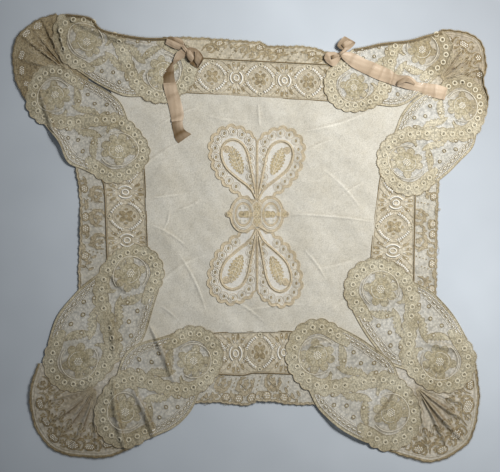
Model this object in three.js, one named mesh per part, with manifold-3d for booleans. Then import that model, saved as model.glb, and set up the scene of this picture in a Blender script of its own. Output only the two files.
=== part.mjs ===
// Needle lace cushion cover, laid out flat on a table and seen from above.
// Millimetres, +Z up, +Y towards the ribbon bows, origin under the middle of the cover.
// A sheer lawn panel with an applied motif is framed by lace insertions and edgings.
// A pair of oval lace plaques meets in a V at each corner, with a gathered fan between them.
import * as THREE from "three";
import { mergeGeometries, mergeVertices } from "three/addons/utils/BufferGeometryUtils.js";
import Module from "manifold-3d";

const wasm = await Module();
wasm.setup();

// Driving dimensions
const lawnThickness = 1.0;
const laceThickness = 1.2;
const plaqueThickness = 1.6;
const motifThickness = 1.0;
const ribbonThickness = 0.8;
const gap = 0.35;                 // between pieces that are sewn edge to edge or lie on each other
const tableSpan = 680;            // square of table that the cloth is laid on
const foldSteps = 6;              // facets along a fold
const flankSteps = 4;             // facets across a fold
const endRound = 0.6;             // how far a fold's rounded ends reach, as a share of their width
const steepSide = 0.55;           // a fold leans over, so its left flank is this much narrower
const plaqueRoundness = 2.4;      // 2 is an ellipse, more is squarer
const cutHeight = 60;             // taller than any fold
const colors = {
  lawn: "#dcd6c6",
  lace: "#c9bd9f",
  plaque: "#cfc3a4",
  motif: "#d8c9a6",
  ribbon: "#d3bfa6",
};

// Turns rows of numbers into objects with named columns
const withColumns = (names, rows) =>
  rows.map((row) => Object.fromEntries(names.map((name, i) => [name, row[i]])));

// Folds of the laid cloth. Each runs from (x1, y1) to (x2, y2), sags to its left by bow,
// is width1 wide at its start and width2 at its end, and stands height high.
const foldColumns = ["x1", "y1", "x2", "y2", "bow", "width1", "width2", "height"];

const tucks = withColumns(foldColumns, [
  // bottom left pair
  [-135, -116, -102, -194, 2, 6, 9, 6],
  [-184, -188, -163, -294, -5, 7, 9, 7],
  [-160, -200, -124, -282, 4, 7, 9, 7],
  [-190, -104, -184, -160, 4, 8, 8, 5],
  [-191, -43, -165, -73, 0, 8, 7, 5],
  // top left pair
  [-284, 203, -248, 104, -1, 6, 9, 7],
  [-248, 302, -118, 261, -9, 8, 6, 6],
  // bottom right pair
  [68, -147, 112, -138, 2, 8, 8, 5],
  [166, -242, 198, -204, -3, 8, 9, 6],
  [236, -140, 282, -150, 2, 8, 8, 5],
  // top right fan, along its rim
  [309, 236, 322, 180, 4, 6, 7, 7],
]);

// Gathers: pleats that spread from the point where each corner fan is drawn together
const gatherPoints = {
  bottomRight: [223, -198],
  bottomLeft: [-208, -200],
  topLeft: [-246, 226],
  topRight: [256, 215],
};
const gatherColumns = ["corner", "angle", "from", "to", "bow", "width", "height"];
const gathers = withColumns(gatherColumns, [
  ["bottomRight", -77, 14, 84, 0, 8, 5],
  ["bottomRight", -62, 8, 92, 2, 9, 9],
  ["bottomRight", -48, 6, 98, -2, 9, 10],
  ["bottomRight", -34, 8, 78, -2, 8, 8],
  ["bottomRight", -19, 22, 76, 0, 8, 4],
  ["bottomLeft", -88, 20, 84, -2, 8, 6],
  ["bottomLeft", -111, 8, 88, 2, 9, 9],
  ["bottomLeft", -128, 6, 92, 3, 9, 9],
  ["bottomLeft", -145, 8, 82, 4, 9, 8],
  ["bottomLeft", -165, 24, 82, 0, 9, 5],
  ["topLeft", 101, 22, 66, 0, 6, 6],
  ["topLeft", 116, 8, 80, 0, 6, 8],
  ["topLeft", 129, 8, 76, 0, 6, 6],
  ["topLeft", 142, 8, 84, 0, 7, 9],
  ["topLeft", 165, 20, 66, 0, 9, 5],
  ["topRight", 68, 18, 54, 0, 7, 5],
  ["topRight", 50, 8, 62, 2, 6, 7],
  ["topRight", 36, 6, 56, 0, 6, 9],
  ["topRight", 20, 8, 50, -2, 6, 7],
  ["topRight", 0, 16, 48, 0, 8, 5],
]);

function gatherFold({ corner, angle, from, to, bow, width, height }) {
  const [x, y] = gatherPoints[corner];
  const turn = THREE.MathUtils.degToRad(angle);
  const [c, s] = [Math.cos(turn), Math.sin(turn)];
  const place = { x1: x + from * c, y1: y + from * s, x2: x + to * c, y2: y + to * s };
  return { ...place, bow, width1: (width * from) / to, width2: width, height };
}

const folds = [...tucks, ...gathers.map(gatherFold)];

// How full a fold is along its length, from nothing at its ends to 1 in the middle
const fullness = (along) => Math.sqrt(Math.max(0, Math.sin(Math.PI * along)));

// A point of a fold in plan: along runs from 0 to 1, across from -1 on the sloping flank
// to 1 on the steep one. The fold narrows and rounds off towards its ends.
function foldPoint({ x1, y1, x2, y2, bow, width1, width2 }, along, across) {
  const run = Math.hypot(x2 - x1, y2 - y1);
  const width = (width1 + (width2 - width1) * along) * (0.4 + 0.6 * fullness(along));
  const side = 4 * bow * along * (1 - along) + across * width * (across < 0 ? 1 : steepSide);
  const length = along * run + endRound * width * (2 * along - 1) ** 3 * (1 - across ** 2);
  const [ax, ay] = [(x2 - x1) / run, (y2 - y1) / run];
  return [x1 + ax * length - ay * side, y1 + ay * length + ax * side];
}

const foldLift = ({ height }, along, across) => height * fullness(along) * (1 - across ** 2) ** 2;

// The edge of a fold in plan, where it comes down to the table
function foldBorder(fold) {
  const upTo = (count) => Array.from({ length: count }, (_, i) => i);
  return [
    ...upTo(foldSteps).map((i) => foldPoint(fold, i / foldSteps, -1)),
    ...upTo(flankSteps).map((i) => foldPoint(fold, 1, (2 * i) / flankSteps - 1)),
    ...upTo(foldSteps).map((i) => foldPoint(fold, (foldSteps - i) / foldSteps, 1)),
    ...upTo(flankSteps).map((i) => foldPoint(fold, 0, 1 - (2 * i) / flankSteps)),
  ];
}

function foldSurface(fold) {
  const strip = new THREE.PlaneGeometry(1, 2, foldSteps, flankSteps);
  const corners = strip.attributes.position;
  for (let i = 0; i < corners.count; i += 1) {
    const along = Math.round((corners.getX(i) + 0.5) * foldSteps) / foldSteps;
    const across = corners.getY(i);
    corners.setXYZ(i, ...foldPoint(fold, along, across), foldLift(fold, along, across));
  }
  return strip;
}

const toVectors = (points) => points.map(([x, y]) => new THREE.Vector2(x, y));
const tableCorners = [[-1, -1], [1, -1], [1, 1], [-1, 1]].map((corner) =>
  corner.map((v) => (v * tableSpan) / 2));

// The underside of the laid cloth over the whole table: flat, with a strip let in for each fold
function clothSurface() {
  const table = new THREE.Shape(toVectors(tableCorners));
  table.holes = folds.map((fold) => new THREE.Path(toVectors(foldBorder(fold))));
  const flat = new THREE.ShapeGeometry(table);
  return mergeGeometries([flat, ...folds.map(foldSurface)]);
}

function solidOf(geometry) {
  geometry.deleteAttribute("normal");
  geometry.deleteAttribute("uv");
  const merged = mergeVertices(geometry, 1e-4);
  const vertProperties = new Float32Array(merged.attributes.position.array);
  const triVerts = new Uint32Array(merged.index.array);
  return new wasm.Manifold(new wasm.Mesh({ numProp: 3, vertProperties, triVerts }));
}

// A folded sheet of the given thickness, raised by rise above the cloth's own folds
function foldedSheet(thickness, rise = 0) {
  const top = clothSurface().translate(0, 0, rise + thickness);
  const under = clothSurface().translate(0, 0, rise);
  under.setIndex([...under.index.array].reverse());
  const sides = new THREE.BoxGeometry(tableSpan, tableSpan, thickness);
  sides.translate(0, 0, rise + thickness / 2);
  const openBox = sides.groups.slice(0, 4);
  const indexOf = ({ start, count }) => [...sides.index.array.slice(start, start + count)];
  sides.setIndex(openBox.flatMap(indexOf));
  return solidOf(mergeGeometries([top, under, sides]));
}

// An upright cutter over a plan outline
function cutter(outline) {
  const shape = new THREE.Shape(toVectors(outline));
  const geometry = new THREE.ExtrudeGeometry(shape, { depth: cutHeight, bevelEnabled: false });
  geometry.translate(0, 0, -cutHeight / 4);
  return solidOf(geometry);
}

// A closed curve through a few points of the outline
function rounded(points, steps) {
  const corners = points.map(([x, y]) => new THREE.Vector3(x, y, 0));
  const curve = new THREE.CatmullRomCurve3(corners, true, "catmullrom");
  return curve.getPoints(steps).slice(0, -1).map((p) => [p.x, p.y]);
}

// An open curve through a few points
function smooth(points, stepsEach = 3) {
  const curve = new THREE.CatmullRomCurve3(points.map(([x, y]) => new THREE.Vector3(x, y, 0)));
  return curve.getPoints((points.length - 1) * stepsEach).map((p) => [p.x, p.y]);
}

// Oval plaques. Each has a rose near either end; radius1 and radius2 are the ends' radii,
// and bulge1 and bulge2 are how far its right and left sides swell beyond the ends.
const plaqueColumns = ["name", "x1", "y1", "x2", "y2", "radius1", "radius2", "bulge1", "bulge2"];
const plaques = withColumns(plaqueColumns, [
  ["plaque_top_left_across", -118, 227, -219, 265, 45, 42, 8, 2],
  ["plaque_top_left_down", -181, 122, -262, 196, 42, 40, 2, 10],
  ["plaque_top_right_across", 140, 205, 232, 256, 38, 40, 6, 8],
  ["plaque_top_right_down", 213, 104, 286, 181, 41, 36, 10, 9],
  ["plaque_bottom_left_across", -76, -164, -168, -233, 44, 46, 8, 6],
  ["plaque_bottom_left_down", -161, -45, -232, -165, 42, 44, 6, 8],
  ["plaque_bottom_right_across", 91, -156, 190, -233, 46, 46, 13, 8],
  ["plaque_bottom_right_down", 176, -67, 256, -165, 46, 46, 8, 8],
]);

function plaqueOutline({ x1, y1, x2, y2, radius1, radius2, bulge1, bulge2 }) {
  const run = Math.hypot(x2 - x1, y2 - y1);
  const [ax, ay] = [(x2 - x1) / run, (y2 - y1) / run];
  const points = [];
  const steps = 36;
  for (let i = 0; i < steps; i += 1) {
    const turn = (2 * Math.PI * i) / steps;
    const [c, s] = [Math.cos(turn), Math.sin(turn)];
    const radius = c > 0 ? radius2 : radius1;
    const middleRadius = radius1 + (radius2 - radius1) * (1 + c) / 2;
    const bulge = s > 0 ? bulge2 : bulge1;
    const u = Math.sign(c) * Math.abs(c) ** (2 / plaqueRoundness) * (run / 2 + radius);
    const v = Math.sign(s) * Math.abs(s) ** (2 / plaqueRoundness) * (middleRadius + bulge);
    points.push([(x1 + x2) / 2 + ax * u - ay * v, (y1 + y2) / 2 + ay * u + ax * v]);
  }
  return points;
}

// Gathered fans. The rim runs anticlockwise from one plaque round to the other, and the cloth
// comes back by way of the two roses and the gathers between them.
const fans = [
  {
    name: "corner_fan_bottom_right",
    rim: [[183, -284], [215, -294], [246, -300], [275, -289], [299, -267], [309, -221], [308, -190],
      [301, -151]],
    back: [[256, -165], gatherPoints.bottomRight, [192, -241]],
  },
  {
    name: "corner_fan_bottom_left",
    rim: [[-286, -167], [-297, -210], [-288, -257], [-256, -288], [-198, -294], [-172, -286],
      [-159, -281]],
    back: [[-172, -235], gatherPoints.bottomLeft, [-232, -165]],
  },
  {
    name: "corner_fan_top_left",
    rim: [[-262, 305], [-291, 294], [-314, 272], [-320, 245], [-316, 215], [-304, 190]],
    back: [[-262, 196], gatherPoints.topLeft, [-219, 265]],
  },
  {
    name: "corner_fan_top_right",
    rim: [[319, 172], [321, 190], [315, 215], [319, 237], [308, 271], [269, 283], [240, 276],
      [215, 269]],
    back: [[232, 257], gatherPoints.topRight, [286, 182]],
  },
];

// Where the top plaques turn over at the top edge of the cover
const turnedEdges = [
  [[-320, 340], [-262, 305], [-217, 300], [-198, 283], [-148, 273], [-114, 272], [-60, 272], [-60, 340]],
  [[80, 340], [90, 254], [105, 253], [151, 259], [178, 265], [215, 269], [240, 276], [280, 284],
    [280, 340]],
];

const panelOutline = [[-188, 200], [-85, 198], [101, 187], [216, 186], [174, 74], [163, -28], [180, -149],
  [55, -124], [-47, -126], [-157, -151], [-138, -30], [-142, 87]];

const bandOutlines = {
  insertion_top: [[-85, 198], [-130, 200], [-71, 252], [-53, 244], [100, 236], [125, 236], [130, 190],
    [101, 187]],
  edging_top: [[-115, 240], [-71, 254], [-53, 244], [100, 236], [125, 232], [140, 250], [105, 253], [76, 260],
    [27, 261], [14, 266], [0, 267], [-69, 272], [-115, 272]],
  insertion_right: [[174, 74], [180, 90], [224, 74], [223, 60], [221, -55], [221, -80], [175, -60], [163, -28]],
  edging_right: [[224, 74], [222, 100], [258, 87], [254, 65], [251, -61], [252, -80], [221, -100], [221, -55],
    [223, 60]],
  insertion_bottom: [[55, -124], [90, -140], [80, -183], [61, -182], [8, -180], [-9, -183], [-39, -182],
    [-70, -180], [-70, -130], [-47, -126]],
  edging_bottom: [[-39, -182], [-9, -183], [8, -180], [61, -182], [90, -183], [100, -222], [77, -222],
    [54, -222], [39, -219], [11, -217], [6, -220], [-11, -223], [-47, -219], [-90, -222], [-90, -180]],
  insertion_left: [[-142, 87], [-150, 110], [-215, 110], [-200, 82], [-196, 64], [-193, -18], [-192, -60],
    [-140, -60], [-138, -30]],
  edging_left: [[-200, 82], [-215, 110], [-240, 112], [-235, 98], [-229, 53], [-229, 2], [-231, -41],
    [-230, -60], [-192, -70], [-193, -18], [-196, 64]],
};

// Applied motif: one lobe as it lies at the top right, turned over for the other three
const motifMiddle = [9, 32];
const lobeOutline = [[0, 20], [3, 66], [1, 95], [14, 115], [33, 123], [52, 115], [64, 88], [62, 65],
  [54, 46], [36, 32], [18, 26]];
const lobePlaces = withColumns(["name", "scaleX", "scaleY"], [
  ["motif_lobe_top_right", 1, 0.99],
  ["motif_lobe_top_left", -1, 1.02],
  ["motif_lobe_bottom_right", 0.95, -1.02],
  ["motif_lobe_bottom_left", -1.04, -0.99],
]);
const knotOutline = [[0, 17], [18, 27], [34, 20], [42, 6], [42, -6], [34, -20], [18, -26], [0, -17],
  [-18, -26], [-34, -20], [-43, -6], [-43, 6], [-34, 20], [-18, 27]];

// Bows: the loops leave the knot at an angle in plan and fold back over themselves
const knotHalf = [7, 6, 4.5];
const loopColumns = ["angle", "length", "spread"];
const bows = [
  {
    name: "bow_left",
    knot: [-86, 254],
    loops: withColumns(loopColumns, [
      [154, 27, 15],
      [-42, 25, 18],
    ]),
    tail: [[-88, 257], [-114, 229], [-117, 209], [-114, 183], [-104, 153], [-99, 134], [-94, 129],
      [-79, 142], [-90, 158], [-90, 173], [-94, 195], [-100, 240], [-83, 251]],
  },
  {
    name: "bow_right",
    knot: [124, 250],
    loops: withColumns(loopColumns, [
      [68, 22, 20],
      [207, 23, 18],
    ]),
    tail: [[127, 253], [155, 244], [179, 229], [194, 218], [207, 218], [224, 214], [239, 205], [267, 201],
      [264, 188], [250, 190], [226, 195], [192, 207], [159, 224], [134, 237], [121, 247]],
  },
];

// Moves every corner of an outline outwards, square to the outline, by the same margin
function grown(outline, margin) {
  const side = THREE.ShapeUtils.isClockWise(toVectors(outline)) ? -1 : 1;
  const n = outline.length;
  return outline.map(([x, y], i) => {
    const [px, py] = outline[(i + n - 1) % n];
    const [qx, qy] = outline[(i + 1) % n];
    const before = new THREE.Vector2(y - py, px - x).normalize();
    const after = new THREE.Vector2(qy - y, x - qx).normalize();
    const out = before.clone().add(after).normalize();
    const reach = (side * margin) / Math.max(0.5, out.dot(before));
    return [x + out.x * reach, y + out.y * reach];
  });
}

const cover = new THREE.Group();

function addMesh(name, solid, color, roughness = 0.9) {
  const { vertProperties, triVerts } = solid.getMesh();
  const geometry = new THREE.BufferGeometry();
  geometry.setAttribute("position", new THREE.BufferAttribute(vertProperties, 3));
  geometry.setIndex(new THREE.BufferAttribute(triVerts, 1));
  geometry.computeVertexNormals();
  const mesh = new THREE.Mesh(geometry, new THREE.MeshStandardMaterial({ color, roughness, metalness: 0 }));
  mesh.name = name;
  cover.add(mesh);
}

// Lays pieces one after another: each is cut from its folded sheet, clear of those already laid
function layer(sheets) {
  const laid = [];
  return function lay(name, sheet, outline, color, trims = []) {
    const away = [...laid, ...trims.map(cutter)];
    const plan = away.reduce((left, other) => left.subtract(other), cutter(outline));
    addMesh(name, sheets[sheet].intersect(plan), color);
    laid.push(cutter(grown(outline, gap)));
  };
}

const layCloth = layer({
  plaque: foldedSheet(plaqueThickness),
  lace: foldedSheet(laceThickness),
  lawn: foldedSheet(lawnThickness),
});
for (const plaque of plaques) {
  layCloth(plaque.name, "plaque", plaqueOutline(plaque), colors.plaque, turnedEdges);
}
for (const { name, rim, back } of fans) layCloth(name, "lace", [...smooth(rim), ...back], colors.lace);
layCloth("centre_panel", "lawn", panelOutline, colors.lawn);
for (const [name, outline] of Object.entries(bandOutlines)) layCloth(name, "lace", outline, colors.lace);

// The applied motif lies on the lawn, the knot first and the lobes round it
const layMotif = layer({ motif: foldedSheet(motifThickness, lawnThickness + gap) });
const onMotif = (points, scaleX = 1, scaleY = 1) =>
  points.map(([x, y]) => [motifMiddle[0] + scaleX * x, motifMiddle[1] + scaleY * y]);
layMotif("motif_knot", "motif", onMotif(rounded(knotOutline, 42)), colors.motif);
for (const { name, scaleX, scaleY } of lobePlaces) {
  layMotif(name, "motif", onMotif(rounded(lobeOutline, 36), scaleX, scaleY), colors.motif);
}

// Ribbon bows on the top edge
const ribbonRise = plaqueThickness + gap;
const ribbonSheet = foldedSheet(ribbonThickness, ribbonRise);

function ribbonLoop([knotX, knotY], { angle, length, spread }) {
  const base = ribbonRise + ribbonThickness / 2 + 0.4;
  const side = new THREE.CatmullRomCurve3([
    new THREE.Vector3(0, 0, base + 1.6),
    new THREE.Vector3(length * 0.45, 0, base),
    new THREE.Vector3(length * 0.9, 0, base + 0.6),
    new THREE.Vector3(length, 0, base + 3.2),
    new THREE.Vector3(length * 0.88, 0, base + 6),
    new THREE.Vector3(length * 0.45, 0, base + 6.6),
    new THREE.Vector3(0, 0, base + 4.4),
  ]);
  const steps = 10;
  const geometry = new THREE.BoxGeometry(1, 1, ribbonThickness, steps, 1, 1);
  const corners = geometry.attributes.position;
  for (let i = 0; i < corners.count; i += 1) {
    const along = corners.getX(i) + 0.5;
    const middle = side.getPoint(along);
    const heading = side.getTangent(along);
    const spreadHere = 6 + (spread - 6) * Math.min(1, middle.x / (length * 0.7));
    const across = corners.getY(i) * spreadHere;
    const up = corners.getZ(i);
    corners.setXYZ(i, middle.x - heading.z * up, across, middle.z + heading.x * up);
  }
  geometry.rotateZ(THREE.MathUtils.degToRad(angle));
  geometry.translate(knotX, knotY, 0);
  return solidOf(geometry);
}

for (const { name, knot, loops, tail } of bows) {
  const lump = new THREE.SphereGeometry(1, 10, 6);
  lump.rotateX(Math.PI / 2);
  lump.scale(...knotHalf);
  lump.translate(knot[0], knot[1], ribbonRise + knotHalf[2]);
  let bow = ribbonSheet.intersect(cutter(tail)).add(solidOf(lump));
  for (const loop of loops) bow = bow.add(ribbonLoop(knot, loop));
  addMesh(name, bow, colors.ribbon, 0.5);
}

export default cover;
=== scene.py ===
import math
import random

import bpy
import numpy as np
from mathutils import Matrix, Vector
from mathutils.geometry import delaunay_2d_cdt


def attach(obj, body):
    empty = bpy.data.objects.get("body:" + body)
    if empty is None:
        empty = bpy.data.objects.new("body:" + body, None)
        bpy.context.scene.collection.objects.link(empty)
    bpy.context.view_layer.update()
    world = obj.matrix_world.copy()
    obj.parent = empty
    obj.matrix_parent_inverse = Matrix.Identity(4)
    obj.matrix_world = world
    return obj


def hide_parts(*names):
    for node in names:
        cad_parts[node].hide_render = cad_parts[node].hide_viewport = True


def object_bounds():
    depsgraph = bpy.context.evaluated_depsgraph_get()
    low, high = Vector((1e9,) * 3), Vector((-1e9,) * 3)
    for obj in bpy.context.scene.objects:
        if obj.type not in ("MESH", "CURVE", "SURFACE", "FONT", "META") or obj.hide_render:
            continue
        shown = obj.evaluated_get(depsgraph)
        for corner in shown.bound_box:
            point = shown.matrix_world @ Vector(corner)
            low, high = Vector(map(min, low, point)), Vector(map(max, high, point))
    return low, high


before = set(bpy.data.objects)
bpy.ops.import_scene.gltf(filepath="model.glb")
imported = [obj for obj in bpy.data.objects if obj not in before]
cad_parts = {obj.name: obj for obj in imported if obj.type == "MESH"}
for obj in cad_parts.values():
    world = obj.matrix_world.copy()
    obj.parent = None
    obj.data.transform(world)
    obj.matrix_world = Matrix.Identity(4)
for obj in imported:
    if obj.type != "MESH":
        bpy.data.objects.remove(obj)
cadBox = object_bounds()
lowCorner, highCorner = (np.array(corner) for corner in cadBox)
print("frame loaded")

mm = 0.001
random.seed(7)

# Lengths below are in millimetres, in the frame's own axes, unless a name says otherwise


def cosSin(degrees):
    angle = math.radians(degrees)
    return math.cos(angle), math.sin(angle)


def spoke(x, y, reach, degrees):
    # the end of a spoke from (x, y)
    c, s = cosSin(degrees)
    return x + reach * c, y + reach * s


def newObject(name, data):
    obj = bpy.data.objects.new(name, data)
    bpy.context.scene.collection.objects.link(obj)
    return obj


# Folds of the laid cloth, in the same rows as the solids have

gatherPoints = {
    "bottomRight": (223, -198),
    "bottomLeft": (-208, -200),
    "topLeft": (-246, 226),
    "topRight": (256, 215),
}

# Pressed folds: x1, y1, x2, y2, sag to the left, width at the start, width at the end, height
tucks = [
    (-135, -116, -102, -194, 2, 6, 9, 6),
    (-184, -188, -163, -294, -5, 7, 9, 7),
    (-160, -200, -124, -282, 4, 7, 9, 7),
    (-190, -104, -184, -160, 4, 8, 8, 5),
    (-191, -43, -165, -73, 0, 8, 7, 5),
    (-284, 203, -248, 104, -1, 6, 9, 7),
    (-248, 302, -118, 261, -9, 8, 6, 6),
    (68, -147, 112, -138, 2, 8, 8, 5),
    (166, -242, 198, -204, -3, 8, 9, 6),
    (236, -140, 282, -150, 2, 8, 8, 5),
    (309, 236, 322, 180, 4, 6, 7, 7),
]

# Pleats that fan out from the gathers: corner, angle, from, to, sag, width, height
gathers = [
    ("bottomRight", -77, 14, 84, 0, 8, 5),
    ("bottomRight", -62, 8, 92, 2, 9, 9),
    ("bottomRight", -48, 6, 98, -2, 9, 10),
    ("bottomRight", -34, 8, 78, -2, 8, 8),
    ("bottomRight", -19, 22, 76, 0, 8, 4),
    ("bottomLeft", -88, 20, 84, -2, 8, 6),
    ("bottomLeft", -111, 8, 88, 2, 9, 9),
    ("bottomLeft", -128, 6, 92, 3, 9, 9),
    ("bottomLeft", -145, 8, 82, 4, 9, 8),
    ("bottomLeft", -165, 24, 82, 0, 9, 5),
    ("topLeft", 101, 22, 66, 0, 6, 6),
    ("topLeft", 116, 8, 80, 0, 6, 8),
    ("topLeft", 129, 8, 76, 0, 6, 6),
    ("topLeft", 142, 8, 84, 0, 7, 9),
    ("topLeft", 165, 20, 66, 0, 9, 5),
    ("topRight", 68, 18, 54, 0, 7, 5),
    ("topRight", 50, 8, 62, 2, 6, 7),
    ("topRight", 36, 6, 56, 0, 6, 9),
    ("topRight", 20, 8, 50, -2, 6, 7),
    ("topRight", 0, 16, 48, 0, 8, 5),
]

# Soft storage creases of the lawn: x1, y1, x2, y2, sag, half width, height
creases = [
    (11, 184, 13, 152, 0, 2.6, 0.9),
    (51, 34, 165, 24, 2, 2.6, 1.0),
    (-138, 55, -90, 61, 0, 2.6, 1.0),
    (-109, 39, -120, 9, 3, 2.4, 1.1),
    (-105, 37, -66, 54, -2, 2.4, 1.0),
    (69, 145, 163, 174, -4, 2.6, 1.1),
    (73, 117, 112, 134, 2, 2.4, 0.9),
    (118, 54, 151, 76, 1, 2.4, 0.9),
    (73, -14, 103, -55, 2, 2.6, 0.9),
    (-19, -99, 74, -88, 3, 3, 0.8),
    (-150, 92, -92, 132, 3, 2.6, 0.9),
    (84, -40, 150, -22, -4, 3, 0.7),
    (-120, -60, -62, -22, 5, 3, 0.9),
    (96, 96, 150, 40, 4, 3, 0.7),
    (-96, -20, -60, -96, 4, 3, 0.9),
    (-128, 150, -70, 178, 3, 2.6, 0.8),
    (-136, 20, -84, -12, 4, 2.6, 0.8),
    (-60, 168, 0, 160, -3, 3, 0.6),
    (-44, -70, 20, -112, 3, 3, 0.7),
    (100, -100, 150, -60, -3, 3, 0.6),
    (86, 76, 128, 92, 2, 2.4, 0.6),
    (-130, -84, -96, -110, 2, 2.6, 0.7),
]

# Painted shade wedges where the gathered cloth lies thickest, partly the browner doubled cloth there:
# from angle, to angle, reach, strength, and how brown the whole fan is
wedges = {
    "bottomRight": (-66, -34, 74, 0.85, 0.2),
    "bottomLeft": (192, 262, 60, 0.85, 0.34),
    "topLeft": (98, 142, 62, 1.0, 0.14),
    "topRight": (10, 62, 60, 0.95, 0.68),
}

foldLie = {
    "steepSide": 0.55,      # a fold leans over, so its left side is this much narrower
    "tuckHeight": 0.7,      # thin cloth lies flatter than its solid
    "gatherHeight": 0.48,   # and flattest where it is gathered
    "creaseHeight": 1.5,
    "ripple": 0.45,         # unevenness of the whole cover
}
# painted shade at the foot of each fold and beside each crease, partly the darker doubled cloth there
paintedFoldShade = {
    "foot": 0.34,           # where the dark foot of a fold lies across it
    "tuckFoot": 0.26,       # how wide that foot is
    "gatherFoot": 0.42,
    "lowest": 3,            # height of a fold that is hardly darker
    "full": 3.6,            # and how much higher one as dark as can be is
    "faintest": 0.2,
    "otherSide": 0.3,
    "crease": 0.32,
}


def gatherRow(corner, angle, start, end, sag, width, height):
    near, far = (spoke(*gatherPoints[corner], reach, angle) for reach in (start, end))
    return (*near, *far, sag, width * start / end, width, height)


folds = tucks + [gatherRow(*row) for row in gathers]


def foldPlace(points, row):
    # where each point lies along and across a fold, and how full the fold is there
    x1, y1, x2, y2, sag, width1, width2 = row[:7]
    run = math.hypot(x2 - x1, y2 - y1)
    ahead = np.array([(x2 - x1) / run, (y2 - y1) / run])
    rel = points - np.array([x1, y1])
    along = rel @ ahead / run
    side = rel @ np.array([-ahead[1], ahead[0]]) - 4 * sag * along * (1 - along)
    full = np.sqrt(np.maximum(0, np.sin(math.pi * np.clip(along, 0, 1))))
    width = (width1 + (width2 - width1) * np.clip(along, 0, 1)) * (0.4 + 0.6 * full)
    return along, side / width, full


def creasePlace(points, row):
    # where a crease runs, how far across it each point lies, how full it is there, and its height
    x1, y1, x2, y2, sag, width, lift = row
    along, across, full = foldPlace(points, (x1, y1, x2, y2, sag, width, width))
    return (along > 0) & (along < 1), across, full, lift


# Where an edge stands off the table: x, y, reach, height
swells = [(118, -250, 20, 4.5), (147, -263, 20, 3.5), (-258, 122, 20, 5), (-150, -286, 18, 3),
          (252, -60, 26, 2.5), (-300, -200, 24, 3), (312, 150, 20, 3), (0, 268, 26, 2), (-232, 20, 24, 1.6),
          (20, -220, 26, 1.8), (70, 262, 20, 2.2), (-300, 262, 22, 3)]


def drawnHeight(row):
    return row[7] * foldLie["tuckHeight" if row in tucks else "gatherHeight"]


def relief(points):
    # height of the cloth's underside above the table
    points = np.asarray(points, float).reshape(-1, 2)
    x, y = points.T
    height = foldLie["ripple"] * (2 + np.sin(x / 11 + np.sin(y / 17)) + np.sin(y / 13 + 1.4 * np.sin(x / 23)))
    for sx, sy, reach, lift in swells:
        height += lift * np.exp(-((x - sx) ** 2 + (y - sy) ** 2) / reach**2)
    for row in folds:
        along, across, full = foldPlace(points, row)
        across = np.where(across > 0, across / foldLie["steepSide"], across)
        lift = drawnHeight(row) * full * np.maximum(0, 1 - across**2) ** 2
        height = np.maximum(height, np.where((along > 0) & (along < 1), lift + 0.6 * height, 0))
    return height


def foldNear(points):
    # which points lie on a fold
    near = np.zeros(len(points), bool)
    for row in folds:
        along, across, _ = foldPlace(points, row)
        near |= (np.abs(along - 0.5) < 0.5) & (np.abs(across) < 1.1)
    return near


def creaseLift(points):
    # height that the lawn's creases add
    points = np.asarray(points, float).reshape(-1, 2)
    height = np.zeros(len(points))
    for row in creases:
        within, across, full, lift = creasePlace(points, row)
        height += np.where(within, foldLie["creaseHeight"] * lift * full * np.exp(-4 * across**2), 0)
    return height


def foldShade(points):
    # painted shade: 1 in the dark foot of a fold's steep side, where the cloth is also doubled, beside each
    # crease, and where the cloth is drawn together; below 0 is a painted highlight on the ridge of a crease
    d = paintedFoldShade
    points = np.asarray(points, float).reshape(-1, 2)
    shade = np.zeros(len(points))
    for row in folds:
        along, across, full = foldPlace(points, row)
        strength = min(1, max(d["faintest"], (row[7] - d["lowest"]) / d["full"]))
        foot = d["tuckFoot" if row in tucks else "gatherFoot"]
        dark = full * strength * np.exp(-(((across - d["foot"]) / foot) ** 2))
        dark = np.maximum(dark, d["otherSide"] * full * strength * np.exp(-(((across + 0.3) / 0.5) ** 2)))
        shade = np.maximum(shade, np.where((along > 0) & (along < 1), dark, 0))
    for row in creases:
        within, across, full, lift = creasePlace(points, row)
        dark = d["crease"] * lift * full * np.exp(-(((across - 0.9) / 0.6) ** 2))
        shade = np.maximum(shade, np.where(within, dark, 0))
    for corner, (x, y) in gatherPoints.items():
        start, end, reach, strength, overall = wedges[corner]
        away = np.hypot(points[:, 0] - x, points[:, 1] - y)
        middle = math.radians((start + end) / 2)
        turn = np.degrees(np.angle(np.exp(1j * (np.arctan2(points[:, 1] - y, points[:, 0] - x) - middle))))
        streak = 0.62 + 0.38 * np.sin(turn * 0.55 + 2 * np.sin(turn * 0.23))
        within = 1 / (1 + np.exp((np.abs(turn) - (end - start) / 2) / 2.5))
        near = 0.7 * np.exp(-((away / 15) ** 2)) + strength * streak * within * np.exp(-((away / reach) ** 6))
        near = np.maximum(near, overall * np.exp(-((away / 95) ** 8)))
        shade = np.maximum(shade, np.minimum(1, near * isFan(points, x, y)))
    # painted highlight on the ridge of each crease
    for row in creases:
        within, across, full, lift = creasePlace(points, row)
        paintedHighlight = lift * full * np.exp(-(((across + 0.15) / 0.5) ** 2))
        shade -= np.where(within, paintedHighlight, 0)
    return shade


def isFan(points, x, y):
    # 1 on the outer side of a gather, away from the middle of the cover
    out = np.array([x, y]) / math.hypot(x, y)
    return np.clip(((points - [x, y]) @ out + 8) / 16, 0, 1)


# Plane curves


def between(p0, p1, p2, p3, t):
    # a point of the smooth curve that runs from p1 to p2
    return 0.5 * (2 * p1 + (p2 - p0) * t + (2 * p0 - 5 * p1 + 4 * p2 - p3) * t * t
                  + (3 * p1 - p0 - 3 * p2 + p3) * t**3)


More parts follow.
